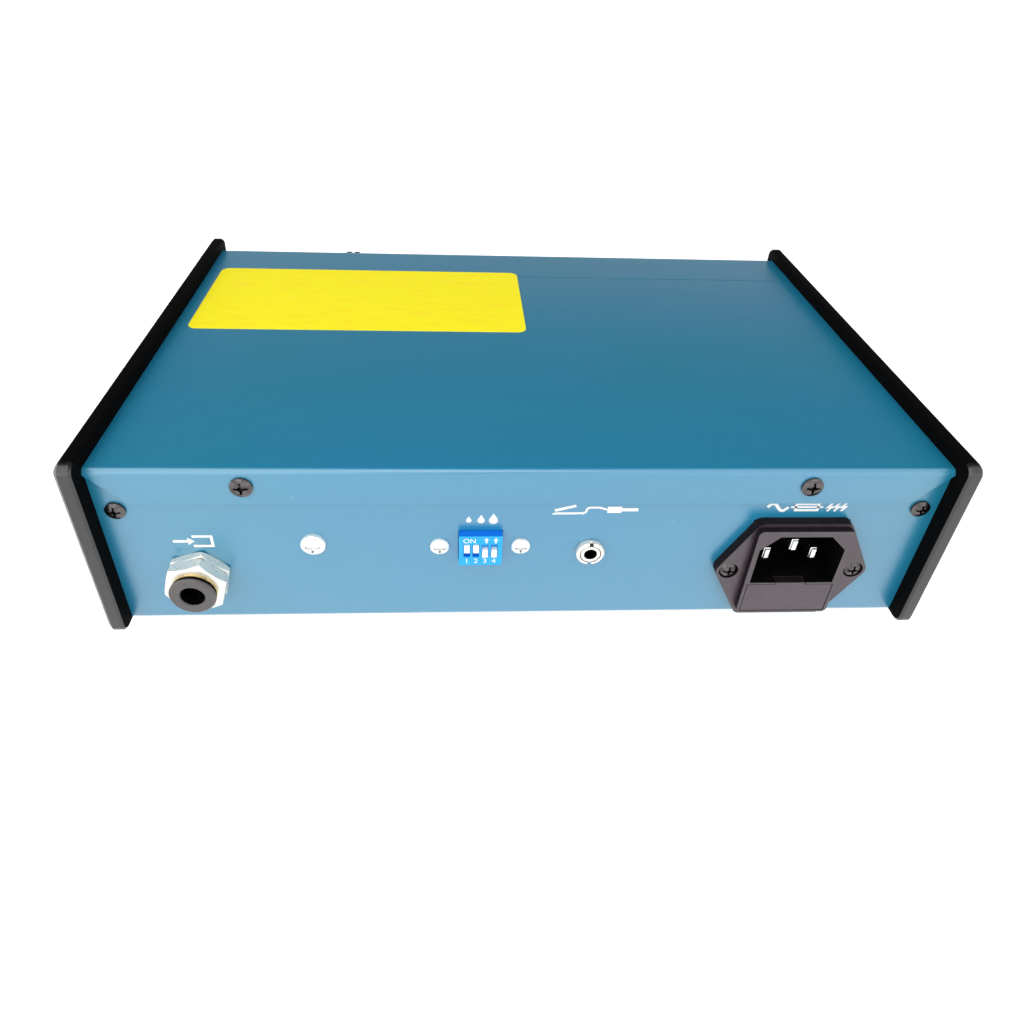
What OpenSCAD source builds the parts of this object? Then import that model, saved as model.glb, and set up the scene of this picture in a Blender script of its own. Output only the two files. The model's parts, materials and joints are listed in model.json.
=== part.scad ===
// Bench-top glue dispenser: a folded sheet-metal case between two thick side plates.
// The front carries the controls, the rear the mains inlet, air inlet, mode switch and foot jack.
// Row frame: +X right seen from the front, front at -Y, rear at +Y, Z = 0 under the feet.
// Heights named ..._z are measured from the case's underside, and are in millimetres.

/* [Case] */
// Width of the sheet-metal case between the side plates
case_w = 231; // [205:1:280]
// Depth from the front panel's face to the rear panel's face
case_d = 149; // [132:1:190]
// Height from the underside to the top cover
case_h = 55.8; // [50:0.1:66]
// Thickness of the sheet metal
sheet_t = 1; // [0.8:0.1:1.2]
// Outside radius of the folds
bend_r = 1.8; // [1.5:0.1:2.5]
// Depth of the front panel's fold over the top
lip_d = 23; // [19:1:32]
// Open seam between the front panel's fold and the top cover
seam_gap = 0.4; // [0.2:0.1:0.8]
// Length of the cover's tongue under the front fold
tongue_l = 8; // [5:1:12]
// Height of the cover's flange down the rear panel
flange_h = 11.4; // [9:0.1:12.5]
// Width of the panels' flanges under the base
base_flange = 12; // [11:0.5:14]

/* [Side plates] */
// Thickness of a side plate
side_t = 4.5; // [3:0.5:6]
// Height of the side plates above the cover
side_up = 4; // [2:0.5:6]
// Reach of the side plates behind the rear panel
side_rear = 6; // [3:0.5:8]
// Reach of the side plates before the front panel
side_front = 4; // [2:0.5:8]
// Corner radius of the side plates
side_r = 3.2; // [2.4:0.1:8]
// Bevel along the outer edges
side_bevel = 1.2; // [0.5:0.1:2]
// Bevel along the inner edges
side_bevel_in = 0.6; // [0.3:0.1:1]
// Distance of the screw port's axis from the plate's inner face
port_in = 5.1; // [4.6:0.1:7]
// Distance of the screw port's axis below the top
port_down = 13.9; // [12.5:0.1:16]
// Outer radius of the screw port
port_r = 3.5; // [2.6:0.1:4]
// Width of the ledge that carries the base
ledge_w = 9; // [8:0.5:12]
// Height of that ledge
ledge_h = 4; // [3:0.5:6]

/* [Feet] */
// Clear height under the case
foot_h = 6; // [4:0.5:12]
// Radius of a foot
foot_r = 8; // [6:0.5:10]
// Distance of the feet from the case's sides and ends
foot_in = 24; // [20:1:32]

/* [Screws] */
// Radius of the M3 screws
m3_r = 1.5; // [1.4:0.05:1.6]
// Radius of the M3 pan heads
m3_head_r = 2.65; // [2.5:0.05:3]
// Height of the M3 pan heads
m3_head_h = 1.9; // [1.6:0.1:2.4]
// Width of the M3 nuts across their flats
m3_nut_af = 5.5; // [5.3:0.1:5.6]
// Radius of the cover screws' heads
cover_head_r = 3; // [2.6:0.1:3.5]
// Distance of the cover screws from the case's sides
cover_screw_side = 39.2; // [30:0.1:50]
// Distance of the cover screws below the top
cover_screw_down = 5.3; // [4.8:0.1:5.9]
// Radius of the M4 valve screw
m4_r = 2; // [1.8:0.05:2.1]
// Radius of its head
m4_head_r = 3.4; // [3.2:0.1:4]
// Height of its head
m4_head_h = 2.4; // [2:0.1:3]
// Distance of the base flange screws from the case's sides
base_screw_side = 45.5; // [35:0.5:55]
// Distance of the base ledge screws from the panels
base_screw_in = 44; // [40:1:50]

/* [Air fittings] */
// Distance of the air inlet from the case's side
air_in_side = 22.9; // [21:0.1:26]
// Height of the air inlet
air_in_z = 18.3; // [17:0.1:20.5]
// Distance of the air outlet from the case's side
air_out_side = 18; // [17:0.1:20]
// Outside radius of the air tubes that the fittings take
fit_tube_r = 3; // [2.8:0.05:3.2]
// Radius of the fittings' thread
barrel_r = 6.6; // [6.2:0.1:7]
// Width of the hexagons across their flats
hex_af = 15.8; // [15:0.1:18]
// Radius of the release collet's flange
collet_r = 6.35; // [6:0.05:6.8]
// Thickness of the outer lock nut
fit_nut_h = 2.6; // [2:0.1:3]
// Height of the fitting's hexagon
fit_hex_h = 3.8; // [3.4:0.1:5]
// Height of the brass ring on the hexagon
fit_ring_h = 0.8; // [0.6:0.1:1]
// Thickness of the release collet's flange
collet_h = 0.9; // [0.8:0.1:2]
// Travel of the release collet
collet_travel = 1; // [0.6:0.1:1.2]
// Length of the fittings inside the case
fit_in = 16; // [15:0.5:17]
// Turn of the hexagons
fit_turn = 14; // [0:1:59]

/* [Mains inlet] */
// Distance of the mains inlet from the case's side
inlet_side = 37.9; // [34:0.1:44]
// Height of the flange's lower edge above the case's floor
inlet_up = 2.85; // [2.6:0.05:4]
// Half the pitch of the flange screws
inlet_pitch = 18.7; // [18.4:0.1:19.4]
// Radius of the flange's ears
inlet_ear_r = 3.7; // [3.4:0.1:4.6]
// Width of the flange's middle
inlet_mid_w = 28.4; // [28:0.1:30]
// Height of the flange
inlet_flange_h = 35.7; // [34.8:0.1:38]
// Thickness of the flange
inlet_flange_t = 3; // [2.5:0.1:3.5]
// Width of the housing
inlet_body_w = 27.8; // [27.4:0.1:28.2]
// Height of the housing
inlet_body_h = 32.2; // [32:0.1:33]
// Distance of the raised body's middle above the flange's
inlet_body_up = 0.7; // [0:0.1:1]
// Height of the housing's face above the panel
inlet_face = 5; // [4.4:0.1:6.8]
// Depth of the housing inside the case
inlet_deep = 22; // [21:0.5:24]
// Width of the plug cavity
cavity_w = 24.8; // [24.4:0.1:25]
// Height of the plug cavity
cavity_h = 17.8; // [16.8:0.1:18.2]
// Depth of the plug cavity
cavity_deep = 17; // [16:0.5:18]
// Cut corner of the plug cavity
cavity_cut = 5; // [4.5:0.1:5.5]
// Distance between the two outer blades
blade_pitch = 14; // [13.8:0.1:14.2]
// Distance of the outer blades' tips below the face
blade_below = 5.3; // [3:0.1:7]
// Reach of the middle blade beyond the outer ones
blade_ahead = 0.8; // [0:0.1:3]
// Width of the fuse drawer
drawer_w = 25.6; // [24.8:0.1:25.8]
// Height of the fuse drawer
drawer_h = 10.8; // [10.4:0.1:11]
// Walls below and above the fuse drawer
drawer_wall = 0.8; // [0.6:0.1:1]
// Width of the drawer's finger tab
tab_w = 9; // [7:0.5:11]
// Length of the fuse drawer
drawer_l = 25; // [24:0.5:26]
// Running gap round the fuse drawer
drawer_gap = 0.15; // [0.1:0.01:0.2]
// Radius of a fuse
fuse_r = 2.6; // [2.5:0.05:2.6]
// Length of a fuse
fuse_l = 20; // [19:0.1:20.2]

/* [Foot switch jack] */
// Place of the jack across the rear
jack_x = -17.8; // [-20:0.1:-14]
// Height of the jack
jack_z = 26.5; // [25:0.1:33]
// Radius of the jack's hole
jack_bore_r = 1.75; // [1.6:0.05:1.8]
// Radius of the jack's thread
jack_thread_r = 3; // [2.8:0.1:3.2]
// Radius of the ring nut
jack_nut_r = 4.05; // [4:0.05:4.6]
// Height of the ring nut
jack_nut_h = 2.1; // [1.8:0.1:3]
// Depth of the spanner slot in the ring nut
jack_slot = 1.1; // [0.8:0.1:1.4]
// Depth of the jack behind the panel
jack_deep = 13; // [12:0.5:15]

/* [Mode switch] */
// Place of the mode switch across the rear
dip_x = 13.6; // [11:0.1:18]
// Height of the mode switch
dip_z = 28.65; // [25:0.05:33]
// Width of the switch
dip_w = 12.2; // [11.4:0.1:12.8]
// Height of the switch
dip_h = 10.9; // [10:0.1:11.6]
// Height of its face above the panel
dip_out = 2.5; // [2.2:0.1:3]
// Depth of the switch behind the panel's face
dip_back = 5; // [4.5:0.1:6]
// Pitch of the sliders
dip_pitch = 2.54; // [2.4:0.01:2.6]
// Width of a slider
slider_w = 1.6; // [1:0.05:1.8]
// Height of a slider
slider_h = 2.7; // [1.6:0.1:3]
// Travel of a slider
slider_travel = 1.7; // [1.5:0.1:2.6]
// Distance of the switch's screws from its middle
dip_screw_x = 11.4; // [10.6:0.1:12.5]

/* [Pressure gauge] */
// Radius of the gauge's case
gauge_r = 19.8; // [18:0.1:20]
// Depth of the gauge's case
gauge_deep = 24; // [22:0.5:26]
// Depth of the dial below the panel's face
dial_deep = 4.2; // [4:0.1:5]

/* [Pressure regulator] */
// Distance of the regulator's axis below the top
reg_down = 21.8; // [19:0.1:24]
// Radius of the regulator's body
reg_r = 14; // [13.5:0.1:14.5]
// Length of the regulator's body inside the case
reg_l = 50; // [50:0.5:54]
// Radius of the knob
knob_r = 14.5; // [13:0.1:15]
// Reach of the knob before the panel
knob_reach = 22; // [21:0.5:26]
// Pull of the knob that unlocks it
knob_pull = 3; // [2:0.1:3.5]
// Ribs round the knob
knob_ribs = 24; // [16:1:30]

/* [Vacuum valve] */
// Distance of the vacuum valve's axis below the top
vac_down = 18.3; // [16:0.1:20]
// Radius of its knob
vac_knob_r = 8; // [7:0.1:8.5]
// Radius of its body
vac_body_r = 7; // [6.6:0.1:7.4]
// Reach of its knob before the panel
vac_reach = 15; // [13:0.5:17]

/* [Power switch] */
// Width of the switch's frame
rocker_frame_w = 15; // [15:0.1:16]
// Height of the switch's frame
rocker_frame_h = 21; // [21:0.1:22]
// Width of the rocker
rocker_w = 10.4; // [10:0.1:10.6]
// Radius of the rocker's ends about its pivot
rocker_r = 7.9; // [7.6:0.05:8]
// Tilt of the rocker each way
rocker_tilt = 11; // [9:0.5:12]

/* [Display and keys] */
// Distance of the display's middle below the top
display_down = 18.8; // [17:0.1:20.5]
// Width of the display window
window_w = 44; // [40:0.5:48]
// Height of the display window
window_h = 15; // [14:0.5:17]
// Height of the row of keys
key_z = 15.5; // [15:0.5:17]
// Pitch of the keys
key_pitch = 14; // [13.5:0.1:14.4]
// Radius of a key
key_r = 4.4; // [4:0.1:4.8]
// Height of a key above the panel
key_out = 1.8; // [1.2:0.1:2.4]
// Travel of a key
key_travel = 0.6; // [0.4:0.05:0.8]

/* [Top label] */
// Width of the yellow label
label_w = 115; // [90:0.5:118]
// Depth of the yellow label
label_d = 51.3; // [40:0.1:56]
// Margin between the label and the case's side
label_side = 4.6; // [2:0.1:8]
// Lap of the label over the front fold's seam
label_lap = 3.1; // [0:0.1:6]
// Corner radius of the label
label_r = 3; // [1:0.5:5]

/* [Inside] */
// Outer radius of the inner air tubes
tube_r = 2; // [1.8:0.1:2.2]
// Wall of the inner air tubes
tube_wall = 0.75; // [0.5:0.05:1]
// Radius of the tubes' bends
tube_bend = 8; // [7:0.5:10]
// Width of the valve block
valve_w = 22; // [20:1:24]
// Length of the valve block
valve_l = 36; // [35:1:40]
// Distance of the valve and its screw from the case's side
valve_side = 55.5; // [51:0.1:60]
// Height of the valve's screw
valve_z = 29.7; // [27:0.1:33]
// Width of the power supply board
supply_w = 80; // [70:1:90]
// Depth of the power supply board
supply_d = 66; // [60:1:68]
// Thickness of the circuit boards
board_t = 1.6; // [1.2:0.1:2]

/* [Hidden] */
$fn = 48;

// Clearances: a turning or sliding round fit, a threaded or held fit, and a cutter's overrun
run_gap = 0.05;
held_gap = 0.05;
over = 1;

// Push-in fittings: the collet's socket, the depth of the tube's seat and the air's way past it
counter_r = fit_tube_r + 1.8;
fit_face = fit_nut_h + fit_hex_h;
collet_gap = collet_travel + 0.1;
flange_face = fit_face + fit_ring_h + collet_gap;
fit_reach = flange_face + collet_h;
seat_deep = 7;
land_t = 1;
land_r = 1.2;
inner_seat = fit_in - seat_deep - land_t;

// The case's planes in the row frame
half_w = case_w / 2;
rear_reach = max(side_rear, fit_reach, inlet_face);
front_reach = max(side_front, knob_reach, vac_reach);
rear_y = (front_reach + case_d + rear_reach) / 2 - rear_reach;
front_y = rear_y - case_d;
in_rear = rear_y - sheet_t;
in_front = front_y + sheet_t;
top_z = foot_h + case_h;
floor_z = foot_h + 2 * sheet_t;
seam_y = front_y + lip_d;
fold_in = bend_r - sheet_t;

// Places on the panels, each taken from the case's side, top or middle
side_screw_x = half_w - port_in;
port_z = case_h - port_down;
cover_screw_x = half_w - cover_screw_side;
cover_screw_z = case_h - cover_screw_down;
base_screw_x = half_w - base_screw_side;
air_in_x = half_w - air_in_side;
air_out_x = half_w - air_out_side;
air_out_z = air_in_z - 2 * tube_r - 0.6;
inlet_x = inlet_side - half_w;
inlet_z = inlet_up + inlet_flange_h / 2;
valve_x = half_w - valve_side;
label_x = half_w - label_side - label_w / 2;
label_y = seam_y - label_lap + label_d / 2;
display_z = case_h - display_down;
gauge_z = case_h / 2;
reg_z = case_h - reg_down;
vac_z = case_h - vac_down;
rocker_z = case_h / 2;

// The front's row of controls, evenly spaced between the sides
board_w = 4 * key_pitch + 12;
bezel_r = gauge_r + 1.8;
row_gap = (case_w - rocker_frame_w - board_w - 2 * (bezel_r + knob_r + vac_knob_r)) / 6;
rocker_x = row_gap + rocker_frame_w / 2 - half_w;
display_x = rocker_x + rocker_frame_w / 2 + row_gap + board_w / 2;
gauge_x = display_x + board_w / 2 + row_gap + bezel_r;
reg_x = gauge_x + bezel_r + row_gap + knob_r;
vac_x = reg_x + knob_r + row_gap + vac_knob_r;

// Depths of the parts behind the panels, and what they leave to the cover
board_deep = 10.5;
switch_h = 3.4;
tube_in = 7;
port_deep = tube_in + 0.4;
nipple_l = 8;
gauge_end = gauge_deep + nipple_l;
gauge_turn = gauge_end + 1 + tube_bend;
reg_port_deep = 30;
reg_boss = 16;
port_box = 14;
port_wall = 4;
valve_out_deep = 25;
valve_bottom = 8;
valve_top = 38;
cover_room = 3.8;
vac_deep = 22;
ejector_in = 20;
ejector_w = 16;
ejector_l = 46;
ejector_h = 14;

// Frames on the two panels: x to the viewer's right, y up and z out of the panel
module on_rear(x, z) {
    translate([x, rear_y, foot_h + z])
        rotate([90, 0, 180])
            children();
}

module on_front(x, z) {
    translate([x, front_y, foot_h + z])
        rotate([90, 0, 0])
            children();
}

// A profile drawn in Y and Z, drawn out across the case
module across(w) {
    translate([-w / 2, 0, 0])
        rotate([90, 0, 90])
            linear_extrude(w)
                children();
}

// A cylinder between two depths along z
module rod(r, low, high) {
    translate([0, 0, low])
        cylinder(r = r, h = high - low);
}

// A ring between two depths along z
module ring(r_out, r_in, low, high) {
    difference() {
        rod(r_out, low, high);
        rod(r_in, low - over, high + over);
    }
}

// A box between two depths along z, centred on x and y
module bar(w, h, low, high) {
    translate([-w / 2, -h / 2, low])
        cube([w, h, high - low]);
}

module rounded_rect(w, h, r) {
    square([w - 2 * r, h], center = true);
    square([w, h - 2 * r], center = true);
    for (sx = [-1, 1], sy = [-1, 1])
        translate([sx * (w / 2 - r), sy * (h / 2 - r)])
            circle(r);
}

module rounded_bar(w, h, r, low, high) {
    translate([0, 0, low])
        linear_extrude(high - low)
            rounded_rect(w, h, r);
}

// A quarter of a folded corner, in the first quadrant
module fold() {
    intersection() {
        difference() {
            circle(bend_r);
            circle(bend_r - sheet_t);
        }
        square(bend_r + over);
    }
}

// A hexagon prism with both rims turned off
module hex_prism(af, low, high, turn) {
    rim = af / 2 * 0.08;
    corner_r = af / 2 / cos(30);
    intersection() {
        rotate([0, 0, turn])
            translate([0, 0, low])
                cylinder(r = corner_r, h = high - low, $fn = 6);
        rotate_extrude()
            polygon([[0, low], [corner_r - 1.6 * rim, low], [corner_r, low + rim],
                [corner_r, high - rim], [corner_r - 1.6 * rim, high], [0, high]]);
    }
}

// Cross recess cut down from a screw head's top
module cross_recess(r, top) {
    for (turn = [0, 90])
        rotate([0, 0, turn])
            translate([-r * 0.62, -r * 0.11, top - r * 0.34])
                cube([r * 1.24, r * 0.22, r]);
    translate([0, 0, top - r * 0.34])
        cylinder(r1 = r * 0.16, r2 = r * 0.3, h = r * 0.35);
}

// A screw with a domed head: the head sits on z = 0 and the shank runs to -length
module pan_screw(shank_r, head_r, head_h, length) {
    rim = head_h * 0.45;
    sphere_r = (head_r * head_r + (head_h - rim) * (head_h - rim)) / (2 * (head_h - rim));
    difference() {
        union() {
            rod(head_r, 0, rim);
            intersection() {
                translate([0, 0, head_h - sphere_r])
                    sphere(sphere_r);
                rod(head_r, rim, head_h + over);
            }
            rod(shank_r, -length, 0);
        }
        cross_recess(head_r, head_h);
    }
}

module hex_nut(af, bore, low, high) {
    difference() {
        hex_prism(af, low, high, 0);
        rod(bore, low - over, high + over);
    }
}

// Sheet-metal case
module bottom_plate() {
    color([0.36, 0.38, 0.40])
        difference() {
            translate([-half_w, in_front + fold_in, foot_h + sheet_t])
                cube([case_w, in_rear - in_front - 2 * fold_in, sheet_t]);
            base_screw_places()
                rod(m3_r + held_gap, -over, 3 * sheet_t);
            foot_places()
                rod(m3_r + held_gap, 0, foot_h + 3 * sheet_t);
        }
}

module rear_profile() {
    translate([in_rear, foot_h + bend_r])
        square([sheet_t, case_h - 2 * bend_r]);
    translate([rear_y - bend_r, foot_h + bend_r])
        mirror([0, 1])
            fold();
    translate([rear_y - base_flange, foot_h])
        square([base_flange - bend_r, sheet_t]);
}

module rear_panel() {
    color([0.42, 0.62, 0.72])
        difference() {
            across(case_w)
                rear_profile();
            on_rear(inlet_x, inlet_z) {
                translate([0, inlet_body_up, 0])
                    bar(inlet_body_w + 0.4, inlet_body_h + 0.4, -2 * sheet_t, over);
                for (side = [-1, 1])
                    translate([side * inlet_pitch, 0, 0])
                        rod(m3_r + held_gap, -2 * sheet_t, over);
            }
            on_rear(air_in_x, air_in_z)
                rod(barrel_r + 0.1, -2 * sheet_t, over);
            on_rear(jack_x, jack_z)
                rod(jack_thread_r + 0.1, -2 * sheet_t, over);
            on_rear(dip_x, dip_z) {
                bar(dip_w + 0.3, dip_h + 0.3, -2 * sheet_t, over);
                for (side = [-1, 1])
                    translate([side * dip_screw_x, 0, 0])
                        rod(m3_r + held_gap, -2 * sheet_t, over);
            }
            on_rear(valve_x, valve_z)
                rod(m4_r + held_gap, -2 * sheet_t, over);
            for (side = [-1, 1]) {
                on_rear(side * side_screw_x, port_z)
                    rod(m3_r + held_gap, -2 * sheet_t, over);
                on_rear(side * cover_screw_x, cover_screw_z)
                    rod(m3_r + held_gap, -2 * sheet_t, over);
            }
            base_screw_places()
                rod(m3_r + held_gap, -over, 3 * sheet_t);
        }
}

module front_profile() {
    translate([front_y, foot_h + bend_r])
        square([sheet_t, case_h - 2 * bend_r]);
    translate([front_y + bend_r, foot_h + bend_r])
        rotate([0, 0, 180])
            fold();
    translate([front_y + bend_r, foot_h])
        square([base_flange - bend_r, sheet_t]);
    translate([front_y + bend_r, top_z - bend_r])
        mirror([1, 0])
            fold();
    translate([front_y + bend_r, top_z - sheet_t])
        square([lip_d - bend_r, sheet_t]);
}

module front_panel() {
    color([0.42, 0.62, 0.72])
        difference() {
            across(case_w)
                front_profile();
            on_front(display_x, display_z)
                bar(window_w + 0.2, window_h + 0.2, -2 * sheet_t, over);
            key_places()
                rod(key_r + 0.15, -2 * sheet_t, over);
            on_front(gauge_x, gauge_z)
                rod(gauge_r + 0.1, -2 * sheet_t, over);
            on_front(reg_x, reg_z)
                rod(neck_r + 0.1, -2 * sheet_t, over);
            on_front(vac_x, vac_z)
                rod(vac_neck_r + 0.1, -2 * sheet_t, over);
            on_front(air_out_x, air_out_z)
                rod(barrel_r + 0.1, -2 * sheet_t, over);
            on_front(rocker_x, rocker_z)
                bar(rocker_body_w + 0.2, rocker_body_h + 0.2, -2 * sheet_t, over);
            for (side = [-1, 1])
                on_front(side * side_screw_x, port_z)
                    rod(m3_r + held_gap, -2 * sheet_t, over);
            base_screw_places()
                rod(m3_r + held_gap, -over, 3 * sheet_t);
        }
}

module cover_profile() {
    translate([seam_y + seam_gap, top_z - sheet_t])
        square([rear_y + sheet_t - bend_r - seam_y - seam_gap, sheet_t]);
    translate([rear_y + sheet_t - bend_r, top_z - bend_r])
        fold();
    translate([rear_y, top_z - flange_h])
        square([sheet_t, flange_h - bend_r]);
    translate([seam_y - tongue_l, top_z - 2 * sheet_t])
        square([tongue_l + seam_gap + 4 * sheet_t, sheet_t]);
}

module top_cover() {
    mitre = flange_h - bend_r;
    color([0.14, 0.46, 0.62])
        difference() {
            across(case_w)
                cover_profile();
            for (side = [0, 1])
                mirror([side, 0, 0])
                    translate([0, rear_y - 0.5, 0])
                        rotate([90, 0, 180])
                            linear_extrude(2 * sheet_t + 0.5)
                                polygon([[-half_w, top_z - bend_r], [-half_w + mitre, top_z - flange_h],
                                    [-half_w + mitre, top_z - flange_h - over],
                                    [-half_w - over, top_z - flange_h - over],
                                    [-half_w - over, top_z - bend_r]]);
            for (side = [-1, 1])
                on_rear(side * cover_screw_x, cover_screw_z)
                    rod(m3_r + held_gap, -over, 2 * sheet_t);
        }
}

// One side plate, on the +X side: a bevelled plate with its screw port and base ledge
plate_w = case_d + side_front + side_rear;
plate_h = case_h + side_up;

module plate_edge(span) {
    polygon([[side_bevel_in - span / 2, 0], [span / 2 - side_bevel_in, 0], [span / 2, side_bevel_in],
        [span / 2, side_t - side_bevel], [span / 2 - side_bevel, side_t], [side_bevel - span / 2, side_t],
        [-span / 2, side_t - side_bevel], [-span / 2, side_bevel_in]]);
}

module bevelled_plate() {
    translate([side_r - plate_w / 2, 0, 0])
        rotate([90, 0, 90])
            linear_extrude(plate_w - 2 * side_r)
                plate_edge(plate_h);
    translate([0, plate_h / 2 - side_r, 0])
        rotate([90, 0, 0])
            linear_extrude(plate_h - 2 * side_r)
                plate_edge(plate_w);
    for (sx = [-1, 1], sy = [-1, 1])
        translate([sx * (plate_w / 2 - side_r), sy * (plate_h / 2 - side_r), 0])
            rotate_extrude()
                polygon([[0, 0], [side_r - side_bevel_in, 0], [side_r, side_bevel_in],
                    [side_r, side_t - side_bevel], [side_r - side_bevel, side_t], [0, side_t]]);
}

module side_plate() {
    difference() {
        union() {
            translate([half_w, front_y - side_front + plate_w / 2, foot_h + plate_h / 2])
                rotate([90, 0, 90])
                    bevelled_plate();
            translate([side_screw_x, in_rear, foot_h + port_z])
                rotate([90, 0, 0])
                    cylinder(r = port_r, h = in_rear - in_front);
            translate([side_screw_x, in_front, foot_h + port_z - port_r])
                cube([port_in + side_t / 2, in_rear - in_front, 2 * port_r]);
            translate([half_w - ledge_w, in_front, floor_z])
                cube([ledge_w + side_t / 2, in_rear - in_front, ledge_h]);
        }
        translate([side_screw_x, in_rear + over, foot_h + port_z])
            rotate([90, 0, 0])
                cylinder(r = m3_r + held_gap, h = in_rear - in_front + 2 * over);
        base_screw_places()
            rod(m3_r + held_gap, -over, ledge_h + sheet_t);
    }
}

module side_plate_right() {
    color([0.07, 0.07, 0.08])
        side_plate();
}

module side_plate_left() {
    color([0.07, 0.07, 0.08])
        mirror([1, 0, 0])
            side_plate();
}

// Screws that hold the case together
cover_screw_l = 6;

module cover_screws() {
    color([0.30, 0.27, 0.25])
        for (side = [-1, 1])
            on_rear(side * cover_screw_x, cover_screw_z)
                translate([0, 0, sheet_t])
                    pan_screw(m3_r, cover_head_r, m3_head_h * 0.7, cover_screw_l);
}

module side_screws() {
    color([0.30, 0.27, 0.25])
        for (side = [-1, 1]) {
            on_rear(side * side_screw_x, port_z)
                pan_screw(m3_r, m3_head_r, m3_head_h * 0.8, 12);
            on_front(side * side_screw_x, port_z)
                pan_screw(m3_r, m3_head_r, m3_head_h * 0.8, 12);
        }
}

// Places of the base screws, each with z = 0 at the sheet that its head lies under
module base_screw_places() {
    for (side = [-1, 1]) {
        for (y = [rear_y - base_flange / 2 - 1, front_y + base_flange / 2 + 1])
            translate([side * base_screw_x, y, foot_h])
                children();
        for (y = [rear_y - base_screw_in, front_y + base_screw_in])
            translate([side * (half_w - ledge_w / 2), y, foot_h + sheet_t])
                children();
    }
}

base_screw_l = 3;

module base_screws() {
    color([0.55, 0.55, 0.55])
        base_screw_places()
            mirror([0, 0, 1])
                pan_screw(m3_r, m3_head_r, m3_head_h * 0.8, base_screw_l);
}

// Rubber feet, each held by a screw in its counterbore
foot_sink = 3.2;

module foot_places() {
    for (side = [-1, 1], y = [rear_y - foot_in, front_y + foot_in])
        translate([side * (half_w - foot_in), y, 0])
            children();
}

module feet() {
    color([0.10, 0.10, 0.10])
        foot_places()
            difference() {
                rotate_extrude()
                    polygon([[0, 0], [foot_r - 1.6, 0], [foot_r - 0.8, 0.8], [foot_r, foot_h + sheet_t],
                        [0, foot_h + sheet_t]]);
                rod(m3_r + held_gap, -over, foot_h + 2 * sheet_t);
                rod(m3_head_r + 0.4, -over, foot_sink);
            }
}

module foot_screws() {
    color([0.55, 0.55, 0.55])
        foot_places()
            translate([0, 0, foot_sink])
                mirror([0, 0, 1])
                    pan_screw(m3_r, m3_head_r, m3_head_h, foot_h + 2 * sheet_t - foot_sink + 2);
}

module top_label() {
    color([0.98, 0.90, 0.05])
        translate([label_x, label_y, top_z])
            rounded_bar(label_w, label_d, label_r, 0, 0.15);
}

// Push-in tube fittings, the same at the rear and the front: lock nuts, body, brass ring, seal, collet
module on_fitting(rear) {
    if (rear)
        on_rear(air_in_x, air_in_z)
            children();
    else
        on_front(air_out_x, air_out_z)
            children();
}

module fitting_nut(low, turn) {
    difference() {
        hex_prism(hex_af, low, low + fit_nut_h, turn);
        rod(barrel_r + held_gap, low - over, low + fit_nut_h + over);
    }
}

module fitting_nuts() {
    color([0.72, 0.70, 0.66])
        for (rear = [true, false])
            on_fitting(rear) {
                fitting_nut(0, fit_turn + nut_turn);
                fitting_nut(-sheet_t - fit_nut_h, fit_turn);
            }
}

// The outer nut's turn past the hexagon, and the socket and seal groove by their depths
nut_turn = 3;
collet_floor = 1;
seal_r = 0.85;
seal_low = -2.4;

module fitting_body(rear) {
    color([0.72, 0.70, 0.66])
        on_fitting(rear)
            difference() {
                union() {
                    hex_prism(hex_af, fit_nut_h, fit_face, fit_turn);
                    rod(barrel_r, -fit_in, fit_nut_h + 0.5);
                }
                rod(counter_r, collet_floor, fit_face + over);
                rod(fit_tube_r + run_gap, -inner_seat + land_t, collet_floor + over);
                rod(land_r, -inner_seat - over, -inner_seat + land_t + over);
                rod(tube_r + run_gap, -fit_in - over, -inner_seat);
                rod(fit_tube_r + 2, seal_low, seal_low + 2 * seal_r + 0.1);
            }
}

module air_in_body() {
    fitting_body(true);
}

module air_out_body() {
    fitting_body(false);
}

module fitting_rings() {
    color([0.80, 0.62, 0.30])
        for (rear = [true, false])
            on_fitting(rear)
                ring(collet_r - 0.2, counter_r + 0.2, fit_face, fit_face + fit_ring_h);
}

module tube_seals() {
    color([0.10, 0.10, 0.10])
        for (rear = [true, false])
            on_fitting(rear)
                translate([0, 0, seal_low + seal_r + 0.05])
                    rotate_extrude()
                        translate([fit_tube_r + 2 - seal_r - 0.05, 0])
                            circle(seal_r, $fn = 20);
}

// Release collet: a slit sleeve whose flange has a funnel for the tube
module collet(rear) {
    low = collet_floor + collet_travel + 0.3;
    bore = fit_tube_r + 0.25;
    funnel = 0.4;
    color([0.30, 0.30, 0.31])
        on_fitting(rear)
            difference() {
                union() {
                    rod(counter_r - run_gap, low, flange_face + 0.5);
                    rotate_extrude()
                        polygon([[0, flange_face], [collet_r, flange_face], [collet_r, fit_reach - 0.5],
                            [collet_r - 0.5, fit_reach], [0, fit_reach]]);
                }
                rod(bore, low - over, fit_reach + over);
                translate([0, 0, fit_reach - funnel])
                    cylinder(r1 = bore, r2 = bore + funnel, h = funnel + 0.001);
                for (turn = [0, 60, 120])
                    rotate([0, 0, turn])
                        bar(0.7, 2 * counter_r + over, low - over, low + 3);
            }
}

module air_in_collet() {
    collet(true);
}

module air_out_collet() {
    collet(false);
}

// Mains inlet: a moulded housing with its plug cavity above and its fuse drawer below
drawer_y = inlet_body_up - inlet_body_h / 2 + drawer_wall + drawer_h / 2;
drawer_top = drawer_y + drawer_h / 2;
cavity_low = drawer_top + drawer_wall;
cavity_mid = cavity_low + cavity_h / 2;
cavity_floor = inlet_face - cavity_deep;
drawer_back = inlet_face - drawer_l;
blade_w = 2;
blade_h = 4;
blade_point = 0.6;
blade_drop = 0.5;
tag_l = 8;
tab_t = 2.5;
corner_r = 2.5;
screw_sink = 1.3;

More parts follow.
